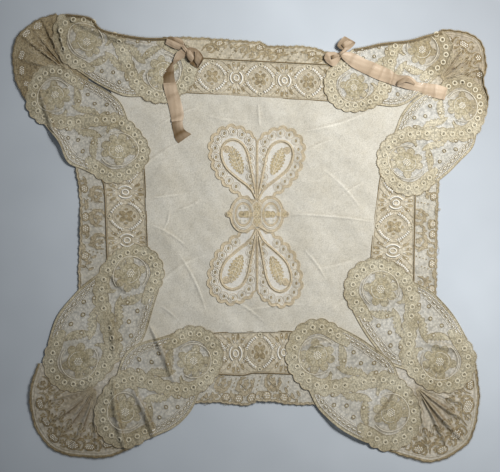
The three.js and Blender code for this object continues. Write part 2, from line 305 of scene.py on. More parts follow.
def smoothPath(points, closed=False, step=1.8):
    # a curve through the points, in even steps
    points = np.asarray(points, float)
    count = len(points)
    fine = []
    for i in range(count if closed else count - 1):
        four = [points[k % count if closed else min(max(k, 0), count - 1)] for k in range(i - 1, i + 3)]
        fine += [between(*four, t) for t in np.linspace(0, 1, 9)[:-1]]
    fine.append(points[0] if closed else points[-1])
    return evenly(np.array(fine), closed, step)


def lengths(points):
    # how far along a path each of its points lies
    return np.concatenate([[0], np.cumsum(np.hypot(*np.diff(points, axis=0).T))])


def evenly(points, closed, step):
    # a path through the points in even, straight steps
    points = np.asarray(points, float)
    if closed and not np.allclose(points[0], points[-1]):
        points = np.vstack([points, points[:1]])
    length = lengths(points)
    count = max(3 if closed else 2, round(length[-1] / step) + 1)
    marks = np.linspace(0, length[-1], count)
    out = np.stack([np.interp(marks, length, points[:, k]) for k in (0, 1)], axis=1)
    return out[:-1] if closed else out


def sideways(points, offset, closed=False):
    # the same curve moved to its left
    points = np.asarray(points, float)
    if closed:
        ahead = np.roll(points, -1, axis=0) - np.roll(points, 1, axis=0)
    else:
        ahead = np.gradient(points, axis=0)
    ahead /= np.maximum(1e-9, np.hypot(*ahead.T))[:, None]
    left = np.stack([-ahead[:, 1], ahead[:, 0]], axis=1)
    return points + left * np.reshape(offset, (-1, 1))


def nearest(path, spot):
    # the number of the path's point that is nearest to the spot
    return int(np.argmin(np.hypot(*(path - np.array(spot)).T)))


def partOf(path, along):
    # the place at a distance along a path
    run = lengths(path)
    return tuple(np.interp(along, run, path[:, k]) for k in (0, 1))


def area(polygon):
    # positive where the polygon runs anticlockwise
    x, y = np.asarray(polygon).T
    return 0.5 * float(np.sum(x * np.roll(y, -1) - np.roll(x, -1) * y))


def inside(points, polygon):
    # which points lie in the polygon
    points, polygon = np.asarray(points, float), np.asarray(polygon, float)
    hit = np.zeros(len(points), bool)
    x, y = points.T
    for (x1, y1), (x2, y2) in zip(polygon, np.roll(polygon, -1, axis=0)):
        if y1 != y2:
            crossing = (y1 > y) != (y2 > y)
            hit ^= crossing & (x < x1 + (y - y1) * (x2 - x1) / (y2 - y1))
    return hit


def oval(x, y, rx, ry=None, turn=0, steps=None):
    ry = ry or rx
    steps = steps or max(8, round(2 * math.pi * max(rx, ry) / 1.9))
    angle = np.linspace(0, 2 * math.pi, steps, endpoint=False)
    c, s = cosSin(turn)
    px, py = rx * np.cos(angle), ry * np.sin(angle)
    return np.stack([x + c * px - s * py, y + s * px + c * py], axis=1)


def stripOf(path, left, right):
    # the strip between two offsets of a path
    return np.vstack([sideways(path, left), sideways(path, right)[::-1]])


def cutAway(outline, cutters):
    # the largest piece of an outline that is left beside the cutters
    points, faces = loopsTogether([outline, *cutters])
    found, _, triangles, _, _, origins = delaunay_2d_cdt(points, [], faces, 0, 1e-4, True)
    edges = set()
    for corners, origin in zip(triangles, origins):
        if list(origin) == [0]:
            edges.update(zip(corners, corners[1:] + corners[:1]))
    after = {a: b for a, b in edges if (b, a) not in edges}
    loops = []
    while after:
        a, b = after.popitem()
        loop = [a]
        while b in after:
            loop.append(b)
            b = after.pop(b)
        loops.append(np.array([tuple(found[i]) for i in loop]))
    return max(loops, key=lambda loop: abs(area(loop)))


def loopsTogether(loops):
    # the points and faces that the triangulation takes
    points, faces = [], []
    for loop in loops:
        loop = loop if area(loop) > 0 else loop[::-1]
        faces.append(list(range(len(points), len(points) + len(loop))))
        points.extend(Vector(p) for p in loop)
    return points, faces


def clearParts(path, closed, covers):
    # the parts of a path that lie beside every cover
    low, high = path.min(0), path.max(0)
    clear = np.ones(len(path), bool)
    for cover in covers:
        if (cover.min(0) < high).all() and (cover.max(0) > low).all():
            clear &= ~inside(path, cover)
    if clear.all():
        return [(path, closed)]
    if closed:
        first = int(np.argmin(clear))
        path, clear = np.roll(path, -first, axis=0), np.roll(clear, -first)
    parts, run = [], []
    for point, keep in zip(path, clear):
        if keep:
            run.append(point)
        elif run:
            parts.append(run)
            run = []
    parts.append(run)
    return [(np.array(part), False) for part in parts if len(part) > 2]


def shrunk(outline, margin):
    # a smoother outline, the margin inside the given one
    outline = evenly(outline if area(outline) > 0 else outline[::-1], True, 2.4)
    for _ in range(12):
        outline = (np.roll(outline, 1, axis=0) + 2 * outline + np.roll(outline, -1, axis=0)) / 4
    return sideways(outline, margin, True)[::2]


def newPlan(outline):
    # areas are (loop, material index) in the order they are worked, the last one on top
    return {"outline": np.asarray(outline, float), "areas": [], "holes": [], "cords": [], "seams": [],
            "pale": [], "white": [], "eyelets": [], "bars": [], "picots": []}


def moved(plan, place):
    # the same plan laid in another place
    out = newPlan(place(plan["outline"]))
    out["areas"] = [(place(path), kind) for path, kind in plan["areas"]]
    for key in ("holes", "picots"):
        out[key] = [place(path) for path in plan[key]]
    for key in ("cords", "pale", "white", "seams"):
        out[key] = [(place(path), closed, thread) for path, closed, thread in plan[key]]
    out["eyelets"] = [(*place(np.array([[x, y]]))[0], size) for x, y, size in plan["eyelets"]]
    out["bars"] = [(place(path), pitch, length) for path, pitch, length in plan["bars"]]
    return out


def clearOf(plan, covers):
    # takes away the threads that would lie under the covers
    for key in ("cords", "pale", "white", "seams"):
        plan[key] = [(part, ends, thread) for path, closed, thread in plan[key]
                     for part, ends in clearParts(path, closed, covers)]
    plan["bars"] = [(part, pitch, length) for path, pitch, length in plan["bars"]
                    for part, _ in clearParts(path, False, covers)]
    plan["picots"] = [part for path in plan["picots"] for part, _ in clearParts(path, False, covers)]
    spots = np.array([spot[:2] for spot in plan["eyelets"]]).reshape(-1, 2)
    bare = np.ones(len(spots), bool)
    for cover in covers:
        bare &= ~inside(spots, cover)
    plan["eyelets"] = [spot for spot, keep in zip(plan["eyelets"], bare) if keep]


def tuckedUnder(plan, covers, margin=7.0):
    # the cloth runs a little way under the covers, and its threads stop at their edges
    clearOf(plan, [shrunk(cover, 1.2) for cover in covers])
    under = [shrunk(cover, margin) for cover in covers]
    plan["holes"] += under
    plan["areas"] = [(loop, kind) for loop, kind in plan["areas"]
                     if not any(inside(loop, cover).all() for cover in under)]


def trimmed(plan, cutters):
    # cuts the cloth and its threads off at the cutters
    plan["outline"] = cutAway(plan["outline"], cutters)
    clearOf(plan, cutters)


def worked(plan, loop, thread, kind=1):
    # an area of clothwork with a cord round it
    plan["areas"].append((loop, kind))
    if thread:
        plan["cords"].append((loop, True, thread))


def scrollLeaf(plan, points, width, pitch, kind=1, thread=0.24):
    # a leaf along a curl, smooth on one side and lobed on the other
    path = smoothPath(points, step=1.1)
    along = lengths(path)
    taper = np.sin(math.pi * np.clip(along / along[-1], 0.02, 0.98)) ** 0.6
    lobes = 0.62 + 0.38 * np.abs(np.sin(math.pi * along / pitch))
    loop = np.vstack([sideways(path, width * taper * lobes), sideways(path, -0.25 * width * taper)[::-1]])
    worked(plan, loop, thread, kind)
    plan["cords"].append((path[1:-1], False, 0.16))


def speckle(plan, x, y, rx, ry, turn=0, edge=True):
    # an oval full of small white knots, most of them with a cord round it
    if edge:
        worked(plan, oval(x, y, rx + 1.2, ry + 1.2, turn), 0)
        plan["seams"].append((oval(x, y, rx + 1.2, ry + 1.2, turn), True, 0.34))
    c, s = cosSin(turn)
    pitch = 2.5
    for i in range(-4, 5):
        for j in range(-4, 5):
            u, v = pitch * (i + 0.5 * (j % 2)), pitch * 0.86 * j
            if (u / rx) ** 2 + (v / ry) ** 2 < 0.85:
                plan["white"].append((oval(x + u * c - v * s, y + u * s + v * c, 0.5, steps=4), True, 0.5))


# Oval plaque, drawn once in its own millimetres: u runs from rose to rose

plaqueDesign = {
    "half": 63.25,        # from the middle to a rose
    "radius": 46,         # of a rounded end
    "swell": 54,          # half width at the middle
    "pitch": 12.5,        # from eyelet to eyelet
    "outerWidth": 10.4,
    "innerWidth": 9.0,
    "scallop": 2.9,
    "eyelet": 2.9,
    "hem": 3.2,
    "cord": 0.55,
    "fineCord": 0.36,
    "edgeFrom": (-62, -47.5),     # the stretch of the border that is the edge
    "edgeTo": (-43, 43),
    "stars": [(10, 27), (-4, 36), (27, 33), (30, 16), (-14, 27)],
}

# centre line of the border from its first tip to the middle; the other half is the same, turned round
borderLine = [(-38, -36), (-52, -37.5), (-67, -37), (-81, -34), (-91, -26), (-97, -15), (-98, -2), (-94, 10),
              (-86, 20), (-75, 27), (-61, 31), (-46, 31.5), (-32, 27), (-20, 19.5), (-10, 10)]
hemLine = [(-20, 50.5), (2, 53.5), (24, 54), (44, 51.5)]

# leaves as (path, width): on the hem's side of the middle, and beside each rose
middleLeaves = [([(-6, 17), (4, 14), (13, 8), (22, 4), (33, 3)], 9),
                ([(-30, 31), (-22, 24), (-15, 17), (-8, 14)], 7)]
roseLeaves = [([(-25, -4), (-28, -15), (-37, -26), (-49, -31)], 9.5),
              ([(-36, 6), (-33, 13), (-38, 21), (-47, 25)], 6)]


def plaquePlan():
    # the border winds from one rose round to the other, and a hem closes each side
    d = plaqueDesign
    turned = [(-u, -v) for u, v in reversed(borderLine)]
    line = smoothPath(borderLine + [(0, 0)] + turned, step=1.6)
    run = lengths(line)
    middle = run[-1] / 2
    away = run - middle
    wave = np.abs(np.cos(math.pi * away / d["pitch"])) ** 0.8
    first = 1 / (1 + np.exp(away / 7))      # 1 round the first rose, 0 round the second
    width = d["innerWidth"] + (d["outerWidth"] - d["innerWidth"]) * first
    width += d["scallop"] * (wave - 0.6) * (first + 0.75 * np.exp(-((away / 38) ** 2)))
    tip = np.clip(np.minimum(run, run[-1] - run) / 24, 0, 1)
    width *= 0.3 + 0.7 * np.sin(0.5 * math.pi * tip)
    left = sideways(line, width)
    right = -left[::-1]
    # one half of the edge: the border round its rose, then the hem to the other rose
    early = left[: len(left) // 2]
    edge = early[nearest(early, d["edgeFrom"]) : nearest(early, d["edgeTo"]) + 1]
    hem = smoothPath([edge[-1], *hemLine, -edge[0]])
    half = np.vstack([edge, hem[1:-1]])
    plan = newPlan(np.vstack([half, -half]))

    band = np.vstack([left, right[::-1]])
    plan["areas"].append((band, 1))
    plan["cords"] += [(plan["outline"], True, d["cord"]), (left, False, d["fineCord"]),
                      (right, False, d["fineCord"])]
    plan["picots"] += [edge, -edge]
    for mark in [middle + side * d["pitch"] * k for k in range(1, 17) for side in (-1, 1)]:
        if 8 < mark < run[-1] - 8:
            u, v = partOf(line, mark)
            plan["eyelets"].append((u, v, d["eyelet"]))
            plan["seams"].append((oval(u, v, 5.6), True, 0.16))

    for turn in (1, -1):
        hemPlan(plan, turn * hem)
        rosePlan(plan, turn)
        for path, width in middleLeaves:
            scrollLeaf(plan, [(turn * u, turn * v) for u, v in path], width, 6)
        for x, y in d["stars"]:
            worked(plan, turn * oval(x, y, 2.6), 0, 2)
            plan["seams"].append((turn * oval(x, y, 2.6), True, 0.36))
            plan["white"].append((turn * oval(x, y, 0.6, steps=5), True, 0.4))
    return plan


def hemPlan(plan, top):
    # a hem and, inside it, a ladder of seeds between two rows of bars
    d = plaqueDesign
    plan["areas"].append((stripOf(top, 0, -d["hem"]), 1))
    plan["cords"].append((sideways(top, -d["hem"]), False, d["fineCord"]))
    plan["cords"] += [(sideways(top, -5.4)[5:-5], False, 0.2), (sideways(top, -11.4)[11:-12], False, 0.26),
                      (sideways(top, -13.6)[12:-14], False, 0.2)]
    plan["bars"] += [(sideways(top, -4.4)[5:-5], 2.4, 1.9), (sideways(top, -12.5)[12:-13], 2.4, 1.8)]
    ladder = sideways(top, -8.4)
    for at in np.arange(13, lengths(ladder)[-1] - 12, 8.2):
        (x1, y1), (x2, y2) = partOf(ladder, at - 2), partOf(ladder, at + 2)
        angle = math.degrees(math.atan2(y2 - y1, x2 - x1))
        worked(plan, oval((x1 + x2) / 2, (y1 + y2) / 2, 3.5, 1.9, angle), 0.24)
        plan["white"].append((np.array([(x1, y1), ((x1 + x2) / 2, (y1 + y2) / 2), (x2, y2)]), False, 0.75))


def rosePlan(plan, turn):
    # a rose in a ring of petals, with a leaf at each side
    u, v = -plaqueDesign["half"], 0

    def polar(reach, angle):
        x, y = spoke(u, v, reach, angle)
        return turn * x, turn * y

    # a pale strip and a ring round the rose
    strip = np.array([polar(24.6, angle) for angle in range(20, 286, 5)])
    plan["cords"] += [(sideways(strip, 1.7), False, 0.2), (sideways(strip, -1.7), False, 0.2)]
    plan["pale"].append((strip, False, 0.6))
    # outer petals, each partly behind the rose
    for k, angle in enumerate((-60, -22, 20, 62, 104, 146, 222)):
        x, y = polar(16.6 + 1.2 * (k % 2), angle)
        facing = angle + (180 if turn < 0 else 0)
        plan["areas"].append((oval(x, y, 6.4, 5.6, facing), 1))
        for share, thread in ((1, 0.26), (0.62, 0.16)):
            rim = oval(x, y, 6.4 * share, 5.6 * share, facing, steps=24)
            away = np.hypot(rim[:, 0] - turn * u, rim[:, 1] - turn * v)
            rim = np.roll(rim, -int(np.argmin(away)), axis=0)
            away = np.roll(away, -int(np.argmin(away)))
            if (away > 15.2).sum() > 4:
                plan["cords"].append((rim[away > 15.2], False, thread))
    angles = np.linspace(0, 360, 72, endpoint=False)
    disc = np.array([polar(14.6 + 0.8 * abs(cosSin(4 * angle)[1]), angle) for angle in angles])
    worked(plan, disc, 0.24, 2)
    for k in range(7):
        angle = 51.4 * k
        petal = [polar(5.2, angle), polar(8.6, angle + 16), polar(12, angle + 20), polar(13.4, angle + 8)]
        plan["cords"].append((smoothPath(petal, step=1.2), False, 0.18))
        x, y = polar(9.6, angle + 32)
        plan["areas"].append((oval(x, y, 3.1, 2.5, angle + 32), 1))
    plan["white"].append((np.array([polar(12.6, angle) for angle in range(-150, -20, 9)]), False, 0.3))
    speckle(plan, *polar(0, 0), 5.6, 5.6, edge=False)
    for path, width in roseLeaves:
        scrollLeaf(plan, [(turn * x, turn * y) for x, y in path], -width, 5.6)


# node, rose 1, rose 2, radius 1, radius 2, swell on one side and on the other, which way the border winds
plaqueRows = [
    ("plaque_top_left_across", -118, 227, -219, 265, 45, 42, 8, 2, 1),
    ("plaque_top_left_down", -181, 122, -262, 196, 42, 40, 2, 10, -1),
    ("plaque_top_right_across", 140, 205, 232, 256, 38, 40, 6, 8, -1),
    ("plaque_top_right_down", 213, 104, 286, 181, 41, 36, 10, 9, 1),
    ("plaque_bottom_left_across", -76, -164, -168, -233, 44, 46, 8, 6, 1),
    ("plaque_bottom_left_down", -161, -45, -232, -165, 42, 44, 6, 8, -1),
    ("plaque_bottom_right_across", 91, -156, 190, -233, 46, 46, 13, 8, -1),
    ("plaque_bottom_right_down", 176, -67, 256, -165, 46, 46, 8, 8, 1),
]


# Where a plaque is pulled out of its regular shape: x, y, reach, and how far it moves
pulls = {
    "plaque_bottom_left_down": [(-262, -104, 42, -6, 2), (-165, -138, 40, 10, -4)],
    "plaque_bottom_left_across": [(-160, -163, 38, -4, 13), (-94, -244, 30, 2, -4)],
    "plaque_top_left_down": [(-182, 182, 38, 8, 5), (-148, 121, 34, 10, 0), (-295, 172, 30, -6, -3),
                             (-265, 130, 20, 5, 3), (-246, 108, 18, -2, -6)],
    "plaque_top_left_across": [(-162, 197, 40, 0, -6), (-122, 186, 28, 0, -6), (-250, 294, 30, -9, 10)],
    "plaque_top_right_across": [(207, 192, 34, 2, -8)],
    "plaque_top_right_down": [(216, 183, 30, -4, 4), (182, 121, 32, -6, 1), (297, 134, 24, 6, -3)],
    "plaque_bottom_right_down": [(190, -164, 22, -3, -3)],
    "plaque_bottom_right_across": [(184, -176, 24, 3, 4)],
}


def pulled(points, rows):
    # the points as the pulls have moved them
    move = np.zeros_like(points)
    for x, y, reach, dx, dy in rows:
        near = np.exp(-((points[:, 0] - x) ** 2 + (points[:, 1] - y) ** 2) / reach**2)
        move += near[:, None] * [dx, dy]
    return points + move


def plaquePlace(row):
    # lays the plaque that is drawn once between two roses of the cover
    name, x1, y1, x2, y2, radius1, radius2, swell1, swell2, wind = row
    run = math.hypot(x2 - x1, y2 - y1)
    ahead = np.array([x2 - x1, y2 - y1]) / run
    left = np.array([-ahead[1], ahead[0]])
    middle = np.array([(x1 + x2) / 2, (y1 + y2) / 2])
    half, radius, swell = (plaqueDesign[key] for key in ("half", "radius", "swell"))

    def place(points):
        u, v = np.asarray(points, float).reshape(-1, 2).T
        v = v * wind
        end = np.where(u > 0, radius2, radius1)
        beyond = np.maximum(0, np.abs(u) - half)
        long = np.sign(u) * (np.minimum(np.abs(u), half) * run / (2 * half) + beyond * end / radius)
        share = np.clip((u / half + 1) / 2, 0, 1)
        wide = (radius1 + (radius2 - radius1) * share + np.where(v > 0, swell2, swell1)) / swell
        return pulled(middle + np.outer(long, ahead) + np.outer(v * wide, left), pulls[name])

    return place


# Cloth and threads from a plan

clothSteps = {
    "mesh": 3.2,         # from point to point of plain cloth
    "fold": 2.6,         # and along a fold
    "rise": 0.45,        # clothwork above net
    "clear": 0.9,        # free space round each point
    "takenUp": 1.02,     # flat cloth that its folds take up
}


def foldRows():
    # points along every fold and crease, in rows that follow it
    points = []
    places = (-1, -0.72, -0.46, -0.22, 0, 0.14, 0.28, 0.42, 0.55)
    rows = [(row[:7], places) for row in folds]
    rows += [((*row[:6], row[5]), (-1, -0.5, 0, 0.5, 1)) for row in creases]
    for (x1, y1, x2, y2, sag, width1, width2), places in rows:
        run = math.hypot(x2 - x1, y2 - y1)
        ahead = np.array([(x2 - x1) / run, (y2 - y1) / run])
        left = np.array([-ahead[1], ahead[0]])
        for along in np.linspace(0.01, 0.99, max(5, round(run / clothSteps["fold"]))):
            full = math.sqrt(math.sin(math.pi * along))
            width = (width1 + (width2 - width1) * along) * (0.4 + 0.6 * full)
            for across in places:
                side = 4 * sag * along * (1 - along) + across * width
                points.append(np.array([x1, y1]) + ahead * along * run + left * side)
    return np.array(points)


alongFolds = foldRows()


def setAttribute(mesh, name, values):
    # one number or one vector for each point
    values = np.asarray(values, np.float32)
    kind, key = ("FLOAT", "value") if values.ndim == 1 else ("FLOAT_VECTOR", "vector")
    mesh.attributes.new(name, kind, "POINT").data.foreach_set(key, values.ravel())


def latticePoints(outline, kept, step):
    # points all over the cloth: in even rows, and along the folds
    low, high = outline.min(0), outline.max(0)
    rows = np.arange(low[1], high[1], step * math.sqrt(3) / 2)
    lines = []
    for i, y in enumerate(rows):
        x = np.arange(low[0] + (i % 2) * step / 2, high[0], step)
        line = np.stack([x, np.full(len(x), y)], axis=1)
        lines.append(line[~foldNear(line)])
    points = np.vstack([alongFolds, *lines])
    points = points[((points > low) & (points < high)).all(1)]
    points = points[inside(points, outline)]
    # keep clear of the drawn lines and of each other, so that no sliver triangles form
    cell = clothSteps["clear"]
    taken = set()
    for x, y in kept:
        i, j = math.floor(x / cell), math.floor(y / cell)
        taken.update((i + a, j + b) for a in (-1, 0, 1) for b in (-1, 0, 1))
    clear = []
    for x, y in points:
        at = (math.floor(x / cell), math.floor(y / cell))
        clear.append(at not in taken)
        taken.add(at)
    return points[np.array(clear, bool)]


def clothMesh(name, plan, level, materials, extra, step):
    # one sheet: each face takes the material of the last area worked over it
    loops = [plan["outline"]] + [loop for loop, _ in plan["areas"]] + plan["holes"]
    kept = np.vstack(loops)
    inner = latticePoints(plan["outline"], kept, step)
    points, faces = loopsTogether(loops)
    points.extend(Vector(p) for p in inner)
    found, _, triangles, _, _, origins = delaunay_2d_cdt(points, [], faces, 0, 1e-4, True)
    holeFrom = 1 + len(plan["areas"])
    flat = np.array([tuple(p) for p in found])
    tris, kinds = [], []
    for corners, origin in zip(triangles, origins):
        if 0 in origin and max(origin) < holeFrom:
            tris.append(corners)
            kinds.append(plan["areas"][max(origin) - 1][1] if max(origin) else 0)
    tris, kinds = np.array(tris), np.array(kinds)
    kept, tris = np.unique(tris, return_inverse=True)
    flat, tris = flat[kept], tris.reshape(-1, 3)
    onNet, onWork = np.zeros((2, len(flat)), bool)
    onNet[tris[kinds == 0].ravel()] = True
    onWork[tris[kinds > 0].ravel()] = True
    raised = onWork & ~onNet
    height = level + relief(flat) + (extra(flat) if extra else 0) + clothSteps["rise"] * raised
    mesh = bpy.data.meshes.new(name)
    mesh.from_pydata([(x * mm, y * mm, z * mm) for (x, y), z in zip(flat, height)], [], tris.tolist())
    for material in materials:
        mesh.materials.append(material)
    mesh.polygons.foreach_set("material_index", kinds.astype(np.int32))
    mesh.polygons.foreach_set("use_smooth", np.ones(len(tris), bool))
    # painted shade and highlight of folds, creases and gathers, with the darker doubled cloth, for the
    # materials
    setAttribute(mesh, "fold", foldShade(flat))
    mesh.validate()
    mesh.update()
    return newObject(name, mesh)


# Geometry Nodes: threads along paths, and small pieces set on points or along paths


def setInputs(tree, node, inputs):
    # an input that is another node's output is linked, and any other is set
    for label, value in inputs.items():
        if isinstance(value, bpy.types.NodeSocket):
            tree.links.new(value, node.inputs[label])
        else:
            node.inputs[label].default_value = value


def nodeOf(tree, kind, inputs, **settings):
    node = tree.nodes.new(kind)
    for key, value in settings.items():
        setattr(node, key, value)
    setInputs(tree, node, inputs)
    return node


def mathNode(tree, operation, *values):
    return nodeOf(tree, "ShaderNodeMath", dict(enumerate(values)), operation=operation).outputs[0]


def attributeOf(tree, name, kind):
    return nodeOf(tree, "GeometryNodeInputNamedAttribute", {"Name": name},
                  data_type=kind).outputs["Attribute"]


def newTree(name, sockets):
    # the tree, what it is given, and the node that takes its result
    tree = bpy.data.node_groups.new(name, "GeometryNodeTree")
    tree.interface.new_socket("Geometry", in_out="INPUT", socket_type="NodeSocketGeometry")
    for label, kind, value in [*sockets, ("Material", "NodeSocketMaterial", None)]:
        socket = tree.interface.new_socket(label, in_out="INPUT", socket_type=kind)
        if value is not None:
            socket.default_value = value
    tree.interface.new_socket("Geometry", in_out="OUTPUT", socket_type="NodeSocketGeometry")
    return tree, tree.nodes.new("NodeGroupInput").outputs, tree.nodes.new("NodeGroupOutput")


def endTree(tree, given, target, made):
    real = nodeOf(tree, "GeometryNodeRealizeInstances", {"Geometry": made}).outputs["Geometry"]
    finish = nodeOf(tree, "GeometryNodeSetMaterial", {"Geometry": real, "Material": given["Material"]})
    setInputs(tree, target, {"Geometry": finish.outputs["Geometry"]})


def threadTree():
    # a round thread along every path; each point's own thickness is in "thread"
    tree, given, target = newTree("threadAlongPath", [("Sides", "NodeSocketInt", 5),
                                                      ("Thickness", "NodeSocketFloat", 1.0)])
    curve = nodeOf(tree, "GeometryNodeMeshToCurve", {"Mesh": given["Geometry"]}).outputs["Curve"]
    radius = mathNode(tree, "MULTIPLY", attributeOf(tree, "thread", "FLOAT"), given["Thickness"])
    curve = nodeOf(tree, "GeometryNodeSetCurveRadius", {"Curve": curve, "Radius": radius}).outputs["Curve"]
    profile = nodeOf(tree, "GeometryNodeCurvePrimitiveCircle", {"Radius": 1.0, "Resolution": given["Sides"]},
                     mode="RADIUS").outputs["Curve"]
    tube = nodeOf(tree, "GeometryNodeCurveToMesh", {"Curve": curve, "Profile Curve": profile,
                                                    "Fill Caps": True})
    if "Scale" in tube.inputs:
        setInputs(tree, tube, {"Scale": radius})
    smooth = nodeOf(tree, "GeometryNodeSetShadeSmooth", {"Geometry": tube.outputs["Mesh"]})
    endTree(tree, given, target, smooth.outputs["Geometry"])
    return tree


def aligned(tree, curved):
    # stands a piece up along "up", and turns it to follow the path
    up = attributeOf(tree, "up", "FLOAT_VECTOR")
    upright = nodeOf(tree, "FunctionNodeAlignRotationToVector", {"Vector": up}, axis="Z").outputs["Rotation"]
    if not curved:
        return upright
    ahead = nodeOf(tree, "GeometryNodeInputTangent", {}).outputs["Tangent"]
    return nodeOf(tree, "FunctionNodeAlignRotationToVector", {"Rotation": upright, "Vector": ahead},
                  axis="X", pivot_axis="Z").outputs["Rotation"]


def piecesTree(name, curved):
    # a small piece on every point, or in even steps along every path
    tree, given, target = newTree(name, [("Piece", "NodeSocketObject", None),
                                         ("Pitch", "NodeSocketFloat", 0.004),
                                         ("Size", "NodeSocketFloat", 1.0)])
    piece = nodeOf(tree, "GeometryNodeObjectInfo", {"Object": given["Piece"], "As Instance": True},
                   transform_space="ORIGINAL").outputs["Geometry"]
    if curved:
        curve = nodeOf(tree, "GeometryNodeMeshToCurve", {"Mesh": given["Geometry"]}).outputs["Curve"]
        points = nodeOf(tree, "GeometryNodeResampleCurve", {"Curve": curve, "Length": given["Pitch"]},
                        mode="LENGTH").outputs["Curve"]
        size = given["Size"]
    else:
        points = nodeOf(tree, "GeometryNodeMeshToPoints", {"Mesh": given["Geometry"]}).outputs["Points"]
        size = mathNode(tree, "MULTIPLY", attributeOf(tree, "size", "FLOAT"), given["Size"])
    placed = nodeOf(tree, "GeometryNodeInstanceOnPoints", {
        "Points": points, "Instance": piece, "Rotation": aligned(tree, curved), "Scale": size})
    endTree(tree, given, target, placed.outputs["Instances"])
    return tree


def throughTree(mesh, tree, values):
    # the mesh that the tree makes of the given one
    obj = newObject("work", mesh)
    modifier = obj.modifiers.new("work", "NODES")
    modifier.node_group = tree
    sockets = {item.name: item.identifier for item in tree.interface.items_tree
               if item.item_type == "SOCKET" and item.in_out == "INPUT"}
    for label, value in values.items():
        modifier[sockets[label]] = value
    made = bpy.data.meshes.new_from_object(obj.evaluated_get(bpy.context.evaluated_depsgraph_get()))
    obj.modifiers.clear()
    bpy.data.objects.remove(obj)
    return made


def pathMesh(paths, level, extra):
    # paths are (points, closed, thread); each thread rests on the cloth
    verts, edges, threads, ups = [], [], [], []
    for path, closed, thread in paths:
        path = np.asarray(path, float)
        start, count = len(verts), len(path)
        height, up = surface(path, level, extra)
        for (x, y), z, n in zip(path, height, up):
            verts.append((x * mm, y * mm, (z + 0.55 * thread + clothSteps["rise"] * 0.5) * mm))
            ups.append(n)
            threads.append(thread * mm)
        edges += [(start + i, start + i + 1) for i in range(count - 1)]
        if closed:
            edges.append((start + count - 1, start))
    mesh = bpy.data.meshes.new("paths")
    mesh.from_pydata(verts, edges, [])
    setAttribute(mesh, "thread", threads)
    setAttribute(mesh, "up", ups)
    return mesh


def surface(points, level, extra):
    # height of the cloth and its upright at each point
    points = np.asarray(points, float).reshape(-1, 2)
    reach = 0.6

    def heightAt(where):
        return relief(where) + (extra(where) if extra else 0)

    height = level + heightAt(points)
    dx = (heightAt(points + [reach, 0]) - heightAt(points - [reach, 0])) / (2 * reach)
    dy = (heightAt(points + [0, reach]) - heightAt(points - [0, reach])) / (2 * reach)
    up = np.stack([-dx, -dy, np.ones(len(points))], axis=1)
    return height, up / np.linalg.norm(up, axis=1)[:, None]


def pointMesh(spots, level, extra):
    # spots are (x, y, size)
    where = np.array([(x, y) for x, y, size in spots], float)
    height, up = surface(where, level, extra)
    mesh = bpy.data.meshes.new("spots")
    mesh.from_pydata([(x * mm, y * mm, (z + 0.45) * mm) for (x, y), z in zip(where, height)], [], [])
    setAttribute(mesh, "size", [size * mm for _, _, size in spots])
    setAttribute(mesh, "up", up)
    return mesh


def smallPiece(name, verts, faces):
    mesh = bpy.data.meshes.new(name)
    mesh.from_pydata(verts, [], faces)
    mesh.polygons.foreach_set("use_smooth", np.ones(len(faces), bool))
    return bpy.data.objects.new(name, mesh)


def ringPiece(name, thread, around=12, sides=5):
    # a ring of radius 1 whose thread is the given share of it
    verts, faces = [], []
    for i in range(around):
        a = 2 * math.pi * i / around
        for j in range(sides):
            b = 2 * math.pi * j / sides
            r = 1 + thread * math.cos(b)
            verts.append((r * math.cos(a), r * math.sin(a), thread * math.sin(b)))
            faces.append((i * sides + j, (i + 1) % around * sides + j,
                          (i + 1) % around * sides + (j + 1) % sides, i * sides + (j + 1) % sides))
    return smallPiece(name, verts, faces)


def tubePiece(name, path, thread, sides=4):
    # a thread along a short path in the XY plane, closed at both ends
    verts, faces = [], []
    count = len(path)
    for i, (x, y) in enumerate(path):
        (x1, y1), (x2, y2) = path[max(0, i - 1)], path[min(count - 1, i + 1)]
        run = math.hypot(x2 - x1, y2 - y1)
        nx, ny = -(y2 - y1) / run, (x2 - x1) / run
        for j in range(sides):
            b = 2 * math.pi * (j + 0.5) / sides
            verts.append((x + nx * thread * math.cos(b), y + ny * thread * math.cos(b), thread * math.sin(b)))
        if i:
            k = (i - 1) * sides
            faces += [(k + j, k + sides + j, k + sides + (j + 1) % sides, k + (j + 1) % sides)
                      for j in range(sides)]
    faces.append(tuple(range(sides)))
    faces.append(tuple(range((count - 1) * sides, count * sides))[::-1])
    return smallPiece(name, verts, faces)


threads = threadTree()
onPoints = piecesTree("pieceOnPoints", False)
onPaths = piecesTree("pieceAlongPath", True)
eyeletRing = ringPiece("eyeletRing", 0.34)
barPiece = tubePiece("bar", [(0, -0.5 * mm), (0, -0.2 * mm), (0, 0.2 * mm), (0, 0.5 * mm)], 0.24 * mm)
picotPitch = 2.6
picotPiece = tubePiece("picot", [(-0.9 * mm, -0.3 * mm), (-0.75 * mm, 0.9 * mm), (0, 1.5 * mm),
                                 (0.75 * mm, 0.9 * mm), (0.9 * mm, -0.3 * mm)], 0.22 * mm, sides=3)


# Materials


def tint(red, green, blue):
    # screen values to the linear values that the sockets hold
    out = []
    for value in (red, green, blue):
        value /= 255
        out.append(value / 12.92 if value <= 0.04045 else ((value + 0.055) / 1.055) ** 2.4)
    return (*out, 1.0)


